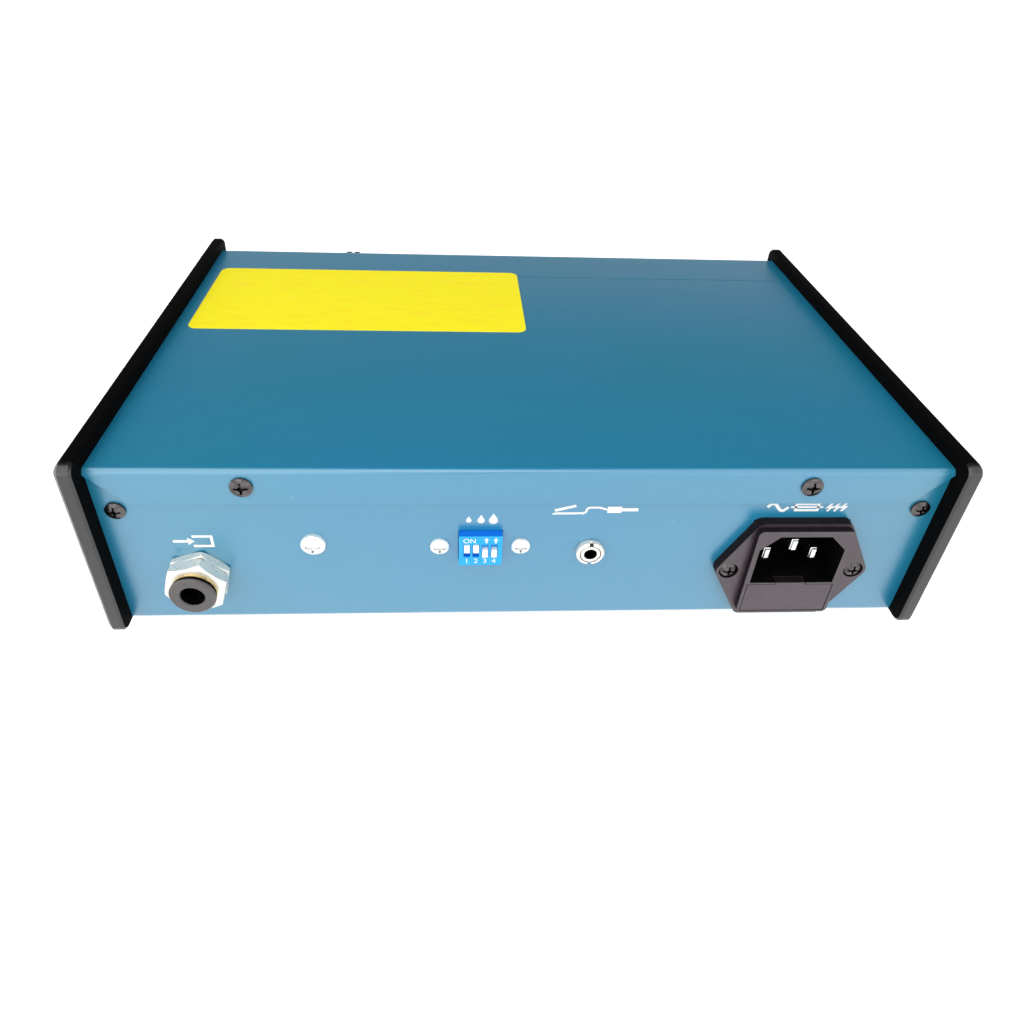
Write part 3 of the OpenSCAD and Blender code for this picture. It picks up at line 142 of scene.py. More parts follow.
# Materials
class Look:
    """One procedural material: its node tree, its shader and its object coordinates."""

    def __init__(self, name, color, roughness, metallic=0.0, **sockets):
        self.material = bpy.data.materials.new(name)
        self.material.use_nodes = True
        self.tree = self.material.node_tree
        self.shader = self.tree.nodes["Principled BSDF"]
        self.set("Base Color", (*color, 1))
        self.set("Roughness", roughness)
        self.set("Metallic", metallic)
        for socket, value in sockets.items():
            self.set(socket.replace("_", " "), value)
        self.coords = self.add("ShaderNodeTexCoord").outputs["Object"]

    def set(self, socket, value):
        """A value on the shader's own socket."""
        self.shader.inputs[socket].default_value = value

    def add(self, kind, **values):
        """A new node with its settings."""
        node = self.tree.nodes.new(kind)
        for key, value in values.items():
            setattr(node, key, value)
        return node

    def link(self, output, target):
        self.tree.links.new(output, target)

    def stretched(self, stretch):
        """Object coordinates scaled per axis."""
        mapping = self.add("ShaderNodeMapping", vector_type="POINT")
        mapping.inputs["Scale"].default_value = stretch
        self.link(self.coords, mapping.inputs["Vector"])
        return mapping.outputs["Vector"]

    def noise(self, size, detail=2.0, stretch=(1, 1, 1)):
        """Noise from 0 to 1 whose blobs are about size across."""
        node = self.add("ShaderNodeTexNoise")
        node.inputs["Scale"].default_value = 1 / size
        node.inputs["Detail"].default_value = detail
        self.link(self.stretched(stretch), node.inputs["Vector"])
        return node.outputs["Fac"]

    def cells(self, size):
        """Distances in a pattern of cells about size across."""
        node = self.add("ShaderNodeTexVoronoi", feature="F1")
        node.inputs["Scale"].default_value = 1 / size
        self.link(self.coords, node.inputs["Vector"])
        return node.outputs["Distance"]

    def spread(self, value, low, high, start=0.3, end=0.7):
        """value taken from start..end to low..high."""
        node = self.add("ShaderNodeMapRange")
        self.link(value, node.inputs["Value"])
        for socket, number in (("From Min", start), ("From Max", end), ("To Min", low), ("To Max", high)):
            node.inputs[socket].default_value = number
        return node.outputs["Result"]

    def hollows(self, reach, closed=0.25, free=0.6):
        """1 in corners and recesses narrower than about reach, 0 in the open: an ambient occlusion mask
        for painted shade.
        """
        node = self.add("ShaderNodeAmbientOcclusion", samples=8)
        node.inputs["Distance"].default_value = reach
        return self.spread(node.outputs["AO"], 1, 0, closed, free)

    def tint(self, factor, color_a, color_b):
        """A colour between two, each a tuple or another node's output."""
        node = self.add("ShaderNodeMix", data_type="RGBA")
        self.link(factor, node.inputs["Factor"])
        for socket, color in (("A", color_a), ("B", color_b)):
            target = next(i for i in node.inputs if i.name == socket and i.type == "RGBA")
            if isinstance(color, tuple):
                target.default_value = (*color, 1)
            else:
                self.link(color, target)
        return next(o for o in node.outputs if o.type == "RGBA")

    def color(self, output):
        self.link(output, self.shader.inputs["Base Color"])

    def rough(self, output):
        self.link(output, self.shader.inputs["Roughness"])

    def bumps(self, *layers):
        """Bump layers, each (height output, depth, strength)."""
        normal = None
        for height, depth, strength in layers:
            node = self.add("ShaderNodeBump")
            node.inputs["Distance"].default_value = depth
            node.inputs["Strength"].default_value = strength
            self.link(height, node.inputs["Height"])
            if normal:
                self.link(normal, node.inputs["Normal"])
            normal = node.outputs["Normal"]
        self.link(normal, self.shader.inputs["Normal"])
        return self.material


def case_paint():
    """Fine satin powder paint in teal, with a faint speckle and slow changes of tone."""
    base = (0.008, 0.20, 0.36)
    shine = 0.29
    look = Look("case_paint", base, shine, Specular_IOR_Level=1.0, Coat_Weight=1.0, Coat_Roughness=0.3)
    greener = (base[0], 1.03 * base[1], 0.86 * base[2])
    bluer = (base[0], 0.95 * base[1], 1.06 * base[2])
    speck_color = (base[0] + 0.018, base[1] + 0.06, base[2] + 0.07)
    tone = look.tint(look.noise(60 * MM), greener, bluer)
    speck = look.spread(look.noise(0.4 * MM, 1), 0, 0.3)
    dust = look.spread(look.cells(9 * MM), 0.35, 0, 0.02, 0.035)
    look.color(look.tint(dust, look.tint(speck, tone, speck_color), (0.30, 0.42, 0.50)))
    look.rough(look.spread(look.noise(30 * MM), shine - 0.015, shine + 0.015))
    return look.bumps((look.noise(0.4 * MM, 1), 0.03 * MM, 0.2))


def plate_black(name, color, gloss, shine):
    """Black side plates: the draw lines of the extrusion and faint handling marks."""
    look = Look(name, color, shine, Specular_IOR_Level=gloss)
    scuff = look.spread(look.noise(3 * MM, 6, (0.3, 1, 1)), 0, 0.3, 0.55, 0.8)
    look.color(look.tint(scuff, color, tuple(1.6 * c for c in color)))
    lines = look.noise(0.6 * MM, 2, (1, 0.02, 1))
    look.rough(look.spread(look.noise(1.5 * MM, 4), shine - 0.05, shine + 0.08))
    return look.bumps((lines, 0.02 * MM, 0.2), (look.noise(0.25 * MM), 0.015 * MM, 0.2))


def zinc_sheet():
    """Zinc plated base sheet with its spangle and rolling lines."""
    look = Look("zinc_sheet", (0.62, 0.63, 0.64), 0.4, 1.0)
    spangle = look.cells(7 * MM)
    look.color(look.tint(look.spread(spangle, 0, 1, 0.1, 0.8), (0.66, 0.67, 0.69), (0.50, 0.52, 0.54)))
    look.rough(look.spread(look.noise(2 * MM, 4), 0.3, 0.5))
    return look.bumps((look.noise(0.5 * MM, 2, (0.03, 1, 1)), 0.02 * MM, 0.3))


def metal(name, color, roughness, grain=0.3 * MM, depth=0.01 * MM, dirt=None, shade_reach=1.5 * MM, recess_shade_level=0.06,
          metallic=1.0):
    """Plated or turned metal: fine grain, uneven shine, and painted shade that darkens its corners and
    recesses.
    """
    look = Look(name, color, roughness, metallic)
    dirt = dirt or tuple(0.8 * c for c in color)
    worn = look.tint(look.spread(look.noise(1.8 * MM, 4), 0, 1, 0.45, 0.75), color, dirt)
    # Painted shade: ambient occlusion darkens the colour towards a fraction of itself in corners and
    # recesses.
    look.color(look.tint(look.hollows(shade_reach), worn, tuple(recess_shade_level * c for c in color)))
    look.rough(look.spread(look.noise(0.8 * MM, 3), roughness * 0.75, roughness * 1.3))
    return look.bumps((look.noise(grain, 2), depth, 0.3))


def plastic(name, color, light, roughness, grain=0.2 * MM, depth=0.02 * MM, shade_reach=None, **sockets):
    """Moulded plastic: a spark-eroded grain, patches of slightly lighter colour, and painted shade in its
    recesses where asked.
    """
    look = Look(name, color, roughness, **sockets)
    shade = look.tint(look.spread(look.noise(2.5 * MM, 4), 0, 1, 0.4, 0.75), color, light)
    if shade_reach:
        # Painted shade: recesses are darkened to near black from ambient occlusion.
        shade = look.tint(look.hollows(shade_reach, 0.3, 0.55), shade, (0.002, 0.002, 0.002))
    look.color(shade)
    look.rough(look.spread(look.noise(1.2 * MM, 3), roughness * 0.85, roughness * 1.2))
    return look.bumps((look.noise(grain, 2), depth, 0.35))


def label_vinyl():
    """Yellow vinyl sticker with a faint warm mottle, rippled a little where it was rubbed down."""
    look = Look("label_vinyl", (1.0, 0.86, 0.01), 0.4, Specular_IOR_Level=0.1)
    mottle = look.spread(look.noise(3 * MM, 3, (0.35, 1, 1)), 0, 0.5, 0.5, 0.85)
    look.color(look.tint(mottle, (1.0, 0.88, 0.008), (1.0, 0.68, 0.02)))
    look.rough(look.spread(look.noise(6 * MM), 0.4, 0.5))
    return look.bumps((look.noise(14 * MM, 1), 0.2 * MM, 0.12))


def rubber():
    """Moulded rubber, dusty in places."""
    look = Look("rubber", (0.018, 0.018, 0.018), 0.8)
    look.color(look.tint(look.noise(1.5 * MM, 4), (0.014, 0.014, 0.014), (0.035, 0.034, 0.032)))
    return look.bumps((look.noise(0.4 * MM, 3), 0.05 * MM, 0.5))


def glass(name, color, alpha, roughness):
    """Glass or a clear window: wiped smears, and a surface that isn't quite flat."""
    look = Look(name, color, roughness, Alpha=alpha, Specular_IOR_Level=0.6)
    look.rough(look.spread(look.noise(5 * MM, 3), roughness, roughness * 2.2))
    return look.bumps((look.noise(6 * MM, 1), 0.02 * MM, 0.1))


def ink(name, color):
    """Screen-printed ink, a little thinner in places."""
    look = Look(name, color, 0.5)
    look.color(look.tint(look.spread(look.noise(0.6 * MM, 3), 0, 1, 0.45, 0.8), color,
                         tuple(0.82 * c for c in color)))
    return look.bumps((look.noise(0.3 * MM), 0.01 * MM, 0.2))


# One for each of the record's slots, and more for the collets and for faces that differ from their node,
# most of them painted shade
MATERIALS = {
    "case_blue": case_paint(),
    "side_black": plate_black("plate_edge", (0.0065, 0.0045, 0.0038), 0.78, 0.3),
    # Painted shade: a darker, dull copy of the plates' black for their inner faces and top edges.
    "plate_painted_shade": plate_black("plate_painted_shade", (0.0022, 0.0020, 0.0020), 0.03, 0.7),
    "plate_outer": plate_black("plate_outer", (0.0050, 0.0042, 0.0038), 0.35, 0.38),
    "base_zinc": zinc_sheet(),
    # The dark screws' cross recesses are painted near black as shade.
    "dark_screw": metal("dark_screw", (0.12, 0.11, 0.11), 0.26, dirt=(0.05, 0.04, 0.04), shade_reach=2.5 * MM,
                        recess_shade_level=0.01),
    "zinc_screw": metal("zinc_screw", (0.95, 0.95, 0.93), 0.4, shade_reach=0.7 * MM, recess_shade_level=0.3, metallic=0.6),
    "rubber_black": rubber(),
    "label_yellow": label_vinyl(),
    "nickel": metal("nickel", (0.90, 0.87, 0.79), 0.34, shade_reach=0.8 * MM, metallic=0.65),
    "brass": metal("brass", (0.62, 0.50, 0.24), 0.3, dirt=(0.30, 0.24, 0.12), shade_reach=1.5 * MM),
    "black_plastic": plastic("black_plastic", (0.025, 0.024, 0.026), (0.045, 0.043, 0.045), 0.42),
    "inlet_plastic": plastic("inlet_plastic", (0.034, 0.018, 0.027), (0.046, 0.028, 0.038), 0.4,
                             Specular_IOR_Level=0.75, Coat_Weight=0.15, Coat_Roughness=0.3),
    # Painted shade: a darker, duller copy of the inlet plastic for the inlet's sides.
    "inlet_side": plastic("inlet_side", (0.006, 0.0035, 0.005), (0.010, 0.006, 0.008), 0.6,
                          Specular_IOR_Level=0.15),
    "blade_metal": metal("blade_metal", (0.95, 0.94, 0.92), 0.2, shade_reach=0.3 * MM),
    "fuse_glass": glass("fuse_glass", (0.85, 0.88, 0.88), 0.5, 0.05),
    "switch_blue": plastic("switch_blue", (0.005, 0.37, 0.80), (0.008, 0.41, 0.86), 0.3),
    # Painted shade: a darker, duller blue for the switch block's top.
    "switch_painted_shade": plastic("switch_painted_shade", (0.002, 0.15, 0.66), (0.003, 0.17, 0.70), 0.5,
                          Specular_IOR_Level=0.2),
    "white_plastic": plastic("white_plastic", (0.88, 0.88, 0.85), (0.80, 0.80, 0.77), 0.38),
    "board_green": plastic("board_green", (0.012, 0.10, 0.045), (0.02, 0.14, 0.06), 0.35),
    "display_red": glass("display_red", (0.030, 0.003, 0.003), 1, 0.06),
    "display_body": plastic("display_body", (0.10, 0.10, 0.10), (0.13, 0.13, 0.13), 0.5),
    "gauge_steel": metal("gauge_steel", (0.72, 0.72, 0.71), 0.2),
    "gauge_glass": glass("gauge_glass", (0.95, 0.98, 0.98), 0.12, 0.02),
    "dial_white": plastic("dial_white", (0.88, 0.88, 0.86), (0.84, 0.84, 0.81), 0.5),
    "pointer_red": plastic("pointer_red", (0.50, 0.02, 0.015), (0.42, 0.02, 0.015), 0.35),
    "cast_grey": metal("cast_grey", (0.42, 0.43, 0.44), 0.5, 0.6 * MM, 0.06 * MM),
    "rocker_red": plastic("rocker_red", (0.45, 0.012, 0.010), (0.52, 0.02, 0.015), 0.25),
    "winding_yellow": plastic("winding_yellow", (0.62, 0.42, 0.05), (0.70, 0.50, 0.08), 0.45),
    "sintered_bronze": metal("sintered_bronze", (0.55, 0.40, 0.20), 0.6, 0.5 * MM, 0.1 * MM),
    # The collets' plastic is painted near black as shade down their bores, from ambient occlusion.
    "collet": plastic("collet_plastic", (0.036, 0.027, 0.027), (0.05, 0.04, 0.04), 0.42, shade_reach=5 * MM,
                      Specular_IOR_Level=0.8, Coat_Weight=0.3, Coat_Roughness=0.3),
    # Painted shade: near-black plastic for the plug cavity and the bores.
    "painted_shade_black": plastic("painted_shade_black_plastic", (0.0015, 0.0012, 0.0012), (0.003, 0.0025, 0.0025), 0.6,
                     Specular_IOR_Level=0.05),
    "tube_blue": plastic("tube_blue", (0.02, 0.16, 0.62), (0.03, 0.20, 0.70), 0.25),
}

INKS = {
    "white": ink("ink_white", (0.88, 0.88, 0.86)),
    "black": ink("ink_black", (0.02, 0.02, 0.02)),
    "grey": ink("ink_grey", (0.10, 0.11, 0.12)),
    "segment": ink("segment_dark", (0.13, 0.022, 0.018)),
}

# Edge rounding of the moulded, folded and turned nodes
SOFT_EDGES = {
    "inlet_housing": 0.35 * MM,
    "fuse_drawer": 0.2 * MM,
    "inlet_blades": 0.9 * MM,
    "dip_body": 0.2 * MM,
    "side_plate_left": 0.3 * MM,
    "side_plate_right": 0.3 * MM,
    "top_cover": 0.15 * MM,
    "jack_nut": 0.2 * MM,
    "air_in_collet": 0.3 * MM,
    "air_out_collet": 0.3 * MM,
    "air_in_body": 0.12 * MM,
    "air_out_body": 0.12 * MM,
    "jack_body": 0.1 * MM,
    "fitting_nuts": 0.12 * MM,
    "display_window": 0.4 * MM,
    **{f"key_{i}": 0.3 * MM for i in range(1, 5)},
    "rocker_frame": 0.35 * MM,
    "power_rocker": 0.4 * MM,
    "regulator_knob": 0.2 * MM,
    "vacuum_knob": 0.2 * MM,
    "feet": 0.4 * MM,
}

BODY_OF = {node: body for body, nodes in frame["record"]["behaviour"]["bodies"].items() for node in nodes}
SLOT_OF = {part["node"]: part["material_slot"] for part in frame["record"]["subparts"]}
REAR_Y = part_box("rear_panel")[1].y
FRONT_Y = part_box("front_panel")[0].y
# The rounded copies, by the node that each stands for
SOFT = {}


def middle_of(node):
    """The middle of a node's box."""
    low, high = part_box(node)
    return (low + high) / 2


def dress_nodes():
    """Each CAD node gets its slot's material."""
    for node, slot in SLOT_OF.items():
        mesh = frame["nodes"][node].data
        mesh.materials.clear()
        mesh.materials.append(MATERIALS[slot])


# Pieces
def add_piece(name, mesh, body, slot, material=None):
    """An object that rides on a body, in its slot's material or in one of its own."""
    piece = bpy.data.objects.new(name, mesh)
    bpy.context.scene.collection.objects.link(piece)
    mesh.materials.clear()
    mesh.materials.append(material or MATERIALS[slot])
    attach(piece, body)
    return piece


def softened(node, width, material):
    """A copy of a CAD node with its sharp edges rounded off by width, which stands for the node."""
    mesh = frame["nodes"][node].data.copy()
    mesh.name = node + "_soft"
    if "custom_normal" in mesh.attributes:
        mesh.attributes.remove(mesh.attributes["custom_normal"])
    work = bmesh.new()
    work.from_mesh(mesh)
    bmesh.ops.remove_doubles(work, verts=work.verts, dist=WELD)
    bmesh.ops.dissolve_limit(work, angle_limit=FLAT_ANGLE, verts=work.verts, edges=work.edges)
    for face in work.faces:
        face.smooth = True
    work.to_mesh(mesh)
    work.free()
    mesh.set_sharp_from_angle(angle=EDGE_ANGLE)
    piece = add_piece(node + "_soft", mesh, BODY_OF[node], SLOT_OF[node], material)
    bevel = piece.modifiers.new("soft_edges", "BEVEL")
    bevel.width = width
    bevel.segments = SOFT_SEGMENTS
    bevel.limit_method = "ANGLE"
    bevel.angle_limit = EDGE_ANGLE
    bevel.harden_normals = True
    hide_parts(node)
    return piece


def soften_nodes():
    """Rounded copies of the nodes in SOFT_EDGES, the collets in their own plastic."""
    for node, width in SOFT_EDGES.items():
        material = MATERIALS["collet"] if "collet" in node else None
        SOFT[node] = softened(node, width, material)


def repaint(piece, material, chosen):
    """Gives a material to the faces that chosen(centre, normal) picks."""
    piece.data.materials.append(material)
    index = len(piece.data.materials) - 1
    for face in piece.data.polygons:
        if chosen(face.center, face.normal):
            face.material_index = index


def plate_faces():
    """The side plates' inner faces and top edges get a darker, dull copy of the black as painted shade,
    and their outer faces a satin one.
    """
    def inner_or_top(centre, normal):
        inner = abs(normal.x) > PLATE_X and centre.x * normal.x < 0
        return inner or normal.z > TOP_Z and abs(normal.y) < EDGE_Y

    def outer(centre, normal):
        return abs(normal.x) > PLATE_X and centre.x * normal.x > 0

    for side in ("side_plate_left", "side_plate_right"):
        repaint(SOFT[side], MATERIALS["plate_painted_shade"], inner_or_top)
        repaint(SOFT[side], MATERIALS["plate_outer"], outer)


def matt_sides():
    """The mains inlet's sides and the top of the switch block get darker, duller copies of their plastics
    as painted shade, unlike the faces to the rear.
    """
    for node in ("inlet_housing", "fuse_drawer"):
        repaint(SOFT[node], MATERIALS["inlet_side"], lambda centre, normal: abs(normal.y) < SIDE_Y)
    repaint(SOFT["dip_body"], MATERIALS["switch_painted_shade"], lambda centre, normal: normal.z > TOP_Z)


def plug_cavity():
    """The inside of the plug cavity is painted near black as shade, up to just below its rim."""
    openings = frame["record"]["physics"]["openings"]
    holes = [hole["box_m"] for hole in openings if "plug_cavity" in hole["name"]]
    low = Vector([min(box[0][i] for box in holes) - CAVITY_MARGIN for i in range(3)])
    high = Vector([max(box[1][i] for box in holes) + CAVITY_MARGIN for i in range(3)])
    middle = (low + high) / 2
    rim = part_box("inlet_housing")[1].y - CAVITY_RIM

    def inside(centre, normal):
        within = centre.y < rim and low.x < centre.x < high.x and low.z < centre.z < high.z
        inward = (centre.x - middle.x) * normal.x + (centre.z - middle.z) * normal.z <= 0
        wall = inward and normal.y < WALL_Y
        return within and (wall or centre.y < rim - CAVITY_DEEP)

    repaint(SOFT["inlet_housing"], MATERIALS["painted_shade_black"], inside)


def bores():
    """The bores of the push-in fittings and of the jack are painted near black inside as shade."""
    for node in ("air_in_collet", "air_out_collet", "air_in_body", "air_out_body", "jack_body"):
        axis = middle_of(node)
        low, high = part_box(node)
        reach = JACK_BORE if node == "jack_body" else TUBE_BORE

        def inside(centre, normal):
            off = math.hypot(centre.x - axis.x, centre.z - axis.z)
            return off < reach and low.y + BORE_INSET < centre.y < high.y - BORE_INSET

        repaint(SOFT[node], MATERIALS["painted_shade_black"], inside)


def lathe(name, profile, middle, out, body, slot, steps=48):
    """A solid of revolution from (radius, height) points in millimetres, round an axis along out."""
    across = Vector(out).orthogonal().normalized()
    turn = Matrix((across, Vector(out).cross(across), Vector(out))).transposed().to_4x4()
    work = bmesh.new()
    rings = []
    angles = [2 * math.pi * i / steps for i in range(steps)]
    for radius, height in profile:
        points = [(radius * math.cos(a), radius * math.sin(a), height) for a in angles]
        rings.append([work.verts.new(point) for point in points])
    for low, high in zip(rings, rings[1:] + rings[:1]):
        for i in range(steps):
            j = (i + 1) % steps
            work.faces.new((low[i], low[j], high[j], high[i]))
    bmesh.ops.recalc_face_normals(work, faces=work.faces)
    for face in work.faces:
        face.smooth = True
    place = Matrix.Translation(middle) @ turn @ Matrix.Scale(MM, 4)
    bmesh.ops.transform(work, matrix=place, verts=work.verts)
    mesh = bpy.data.meshes.new(name)
    work.to_mesh(mesh)
    work.free()
    mesh.set_sharp_from_angle(angle=EDGE_ANGLE)
    add_piece(name, mesh, body, slot)


def direction(turn):
    """The way that lies turn degrees from the reader's right."""
    return Vector((math.cos(math.radians(turn)), math.sin(math.radians(turn))))


def straight(start, end, steps=10):
    """Points along a straight line, close enough to follow a curved face."""
    (ax, ay), (bx, by) = start, end
    return [(ax + (bx - ax) * i / steps, ay + (by - ay) * i / steps) for i in range(steps + 1)]


def arc(x, y, radius, start, end, steps=24):
    """Points along an arc, its angles in degrees."""
    turns = [math.radians(start + (end - start) * i / steps) for i in range(steps + 1)]
    return [(x + radius * math.cos(t), y + radius * math.sin(t)) for t in turns]


class Print:
    """Marks printed on a face, in millimetres to the right and up as the reader sees them."""

    def __init__(self, middle, right, out):
        right, out = Vector(right), Vector(out)
        turn = Matrix((right, out.cross(right), out)).transposed().to_4x4()
        self.place = Matrix.Translation(middle) @ turn @ Matrix.Scale(MM, 4)
        self.out = out
        self.work = bmesh.new()

    def shape(self, points):
        """A filled outline."""
        self.work.faces.new([self.work.verts.new((x, y, INK_PROUD)) for x, y in points])

    def line(self, points, width, closed=False):
        """A stroke along points, with mitred corners."""
        count = len(points)
        sides = []
        for i, (x, y) in enumerate(points):
            before = points[i - 1] if i or closed else None
            after = points[(i + 1) % count] if i + 1 < count or closed else None
            ways = [Vector((x - before[0], y - before[1])).normalized()] if before else []
            ways += [Vector((after[0] - x, after[1] - y)).normalized()] if after else []
            way = sum(ways, Vector((0, 0))).normalized()
            reach = width / 2 / max(0.4, way.dot(ways[0]))
            aside = Vector((-way.y, way.x)) * reach
            ends = [(x + k * aside.x, y + k * aside.y, INK_PROUD) for k in (1, -1)]
            sides.append([self.work.verts.new(end) for end in ends])
        for (a, b), (c, d) in zip(sides, sides[1:] + sides[:1] if closed else sides[1:]):
            self.work.faces.new((a, b, d, c))

    def tick(self, turn, inner, outer, width):
        """A stroke of a round scale, at turn degrees and between two radii."""
        self.line([tuple(inner * direction(turn)), tuple(outer * direction(turn))], width)

    def ring(self, x, y, radius, width):
        """A stroke all round x, y."""
        self.line(arc(x, y, radius, 0, 360)[:-1], width, closed=True)

    def disc(self, x, y, radius):
        """A filled circle."""
        self.shape(arc(x, y, radius, 0, 360)[:-1])

    def arrow(self, x, y, length, width, turn=0):
        """An arrow from x, y at turn degrees: a stroke with a head three strokes wide."""
        way = direction(turn)
        aside = Vector((-way.y, way.x))
        neck = Vector((x, y)) + way * (length - 2 * width)
        self.line([(x, y), tuple(neck)], width)
        head = (neck + 1.5 * width * aside, neck - 1.5 * width * aside, neck + 2 * width * way)
        self.shape([tuple(point) for point in head])

    def words(self, text, x, y, size):
        """Numerals or ON and OFF, centred on x, y."""
        curve = bpy.data.curves.new("words", "FONT")
        curve.body = text
        curve.size = size
        curve.align_x = "CENTER"
        curve.align_y = "CENTER"
        holder = bpy.data.objects.new("words", curve)
        bpy.context.scene.collection.objects.link(holder)
        bpy.context.view_layer.update()
        mesh = bpy.data.meshes.new_from_object(holder)
        mesh.transform(Matrix.Translation((x, y, INK_PROUD)))
        self.work.from_mesh(mesh)
        bpy.data.objects.remove(holder)
        bpy.data.curves.remove(curve)
        bpy.data.meshes.remove(mesh)

    def settle(self, node):
        """Lays the marks on the node's own surface."""
        mesh = frame["nodes"][node].data
        tree = BVHTree.FromPolygons([v.co for v in mesh.vertices], [p.vertices for p in mesh.polygons])
        for vert in self.work.verts:
            start = self.place @ vert.co + SETTLE_FROM * self.out
            hit = tree.ray_cast(start, -self.out)[0]
            if hit:
                vert.co.z += (hit - self.place @ vert.co).dot(self.out) / MM + INK_PROUD

    def finish(self, name, color, body="case", slot="white_plastic", onto=None):
        """The marks as one thin piece, laid on a node's surface where onto names it."""
        bmesh.ops.remove_doubles(self.work, verts=self.work.verts, dist=INK_WELD)
        if onto:
            self.settle(onto)
        made = bmesh.ops.extrude_face_region(self.work, geom=self.work.faces[:])["geom"]
        for item in made:
            if isinstance(item, bmesh.types.BMVert):
                item.co.z -= INK_THICK
        bmesh.ops.recalc_face_normals(self.work, faces=self.work.faces)
        bmesh.ops.transform(self.work, matrix=self.place, verts=self.work.verts)
        mesh = bpy.data.meshes.new(name)
        self.work.to_mesh(mesh)
        self.work.free()
        add_piece(name, mesh, body, slot, INKS[color])


# The reader's right and the way out of a print on the rear and on the front
REAR = ((-1, 0, 0), (0, 1, 0))
FRONT = ((1, 0, 0), (0, -1, 0))


def on_face(x, y, z, facing):
    """A print whose middle is at x, y, z in metres, on a face turned to the rear or the front."""
    return Print(Vector((x, y, z)), *facing)


def on_front_of(node):
    """A print on the middle of a node's front."""
    middle = middle_of(node)
    return on_face(middle.x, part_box(node)[0].y, middle.z, FRONT)


# Rear panel
def rear_marks():
    """Pictograms: an arrow into a port, three drops, a pedal with its plug, and a wave with a fuse."""
    air = on_face(middle_of("air_in_body").x, REAR_Y, AIR_MARK_Z, REAR)
    air.arrow(-5.3, 0, 5.8, 0.9)
    air.line([(0.4, 1.3), (0.4, 1.75), (5.2, 1.75), (5.2, -1.75), (0.4, -1.75), (0.4, -1.3)], 0.8)
    air.finish("mark_air_in", "white")
    drops = on_face(middle_of("dip_body").x, REAR_Y, MODE_MARK_Z, REAR)
    for x, size in ((-3.4, 0.75), (0, 1.0), (3.4, 1.25)):
        drops.shape(arc(x, -0.5, size, 150, 390, 16) + [(x, -0.5 + 2 * size)])
    drops.finish("mark_mode", "white")
    pedal = on_face(middle_of("jack_nut").x, REAR_Y, PEDAL_MARK_Z, REAR)
    pedal.shape([(-12, -1.6), (-5.2, -1.6), (-5.2, -0.9), (-11.2, -0.9)])
    pedal.line([(-11.2, -0.2), (-5.4, 1.5)], 0.9)
    cable = [(-5.2, -1.2), (-3.4, -1.2)]
    cable += arc(-3.4, -0.2, 1, -90, 0, 8)
    cable += arc(-1.4, -0.2, 1, 180, 90, 8)
    cable += [(1.2, 0.8), (3.6, 0)]
    pedal.line(cable, 0.65)
    pedal.shape([(3.4, -1.1), (7.4, -1.1), (7.4, 1.1), (3.4, 1.1)])
    pedal.line([(7.4, 0), (12, 0)], 1.1)
    pedal.finish("mark_pedal", "white")
    mains = on_face(middle_of("inlet_housing").x, REAR_Y, MAINS_MARK_Z, REAR)
    wave = [(x / 2 - 11.4, 1.3 * math.sin(math.radians(360 * x / 12))) for x in range(13)]
    mains.line(wave, 0.9)
    mains.line([(-3.2, 1.1), (3.2, 1.1), (3.2, -1.1), (-3.2, -1.1)], 0.75, closed=True)
    mains.line([(-4.6, 0), (4.6, 0)], 0.6)
    for x in (6.6, 8.6, 10.6):
        mains.line([(x + 0.5, 1.5), (x - 0.6, -0.1), (x + 0.6, 0.1), (x - 0.5, -1.5)], 0.6)
    mains.finish("mark_mains", "white")


def switch_marks():
    """ON and two arrows at the sliders' upper end, and a number below each."""
    low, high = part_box("dip_body")
    marks = on_face(middle_of("dip_body").x, high.y, 0, REAR)
    marks.words("ON", -3.1, high.z / MM - 1.75, 2.3)
    for x in (1.6, 4.2):
        marks.arrow(x, high.z / MM - 2.5, 1.9, 0.45, 90)
    for i in range(1, 5):
        x = (middle_of("dip_body").x - middle_of(f"dip_slider_{i}").x) / MM
        marks.words(str(i), x, low.z / MM + 1.6, 2.4)
    marks.finish("mark_switch", "white")


def jack_bushing():
    """The end of the jack's plated bushing, chamfered at its bore and its thread."""
    depth = 0.55
    profile = [(1.8, -depth), (1.8, -0.12), (1.95, 0), (2.75, 0), (2.96, -0.2), (2.96, -depth)]
    middle = middle_of("jack_nut")
    middle.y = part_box("jack_body")[1].y + INK_PROUD * MM
    lathe("jack_bushing", profile, middle, (0, 1, 0), "case", "nickel")


# Front panel
def segment(digits, start, end):
    """One bar of a slanted seven-segment digit between two corners, pointed at both ends."""
    way = (end - start).normalized()
    start = start + BAR_GAP * way
    end = end - BAR_GAP * way
    along = way * BAR_W / 2
    aside = Vector((-way.y, way.x)) * BAR_W / 2
    outline = [start, start + along + aside, end - along + aside,
               end, end - along - aside, start + along - aside]
    digits.shape([(x + DIGIT_SLANT * y, y) for x, y in outline][::-1])


def display_digits():
    """Seven-segment digits on the window, with their points, dark as they are with the mains off."""
    digits = on_front_of("display_window")
    for column in range(DIGITS):
        x = (column - (DIGITS - 1) / 2) * DIGIT_PITCH
        corners = [Vector((x + side * DIGIT_W / 2, level * DIGIT_H / 2))
                   for side in (-1, 1) for level in (-1, 0, 1)]
        for a, b in ((0, 3), (1, 4), (2, 5), (0, 1), (1, 2), (3, 4), (4, 5)):
            segment(digits, corners[a], corners[b])
        digits.disc(x + DIGIT_W / 2 + POINT_ASIDE, -DIGIT_H / 2, POINT_R)
    digits.finish("display_digits", "segment", slot="display_red")


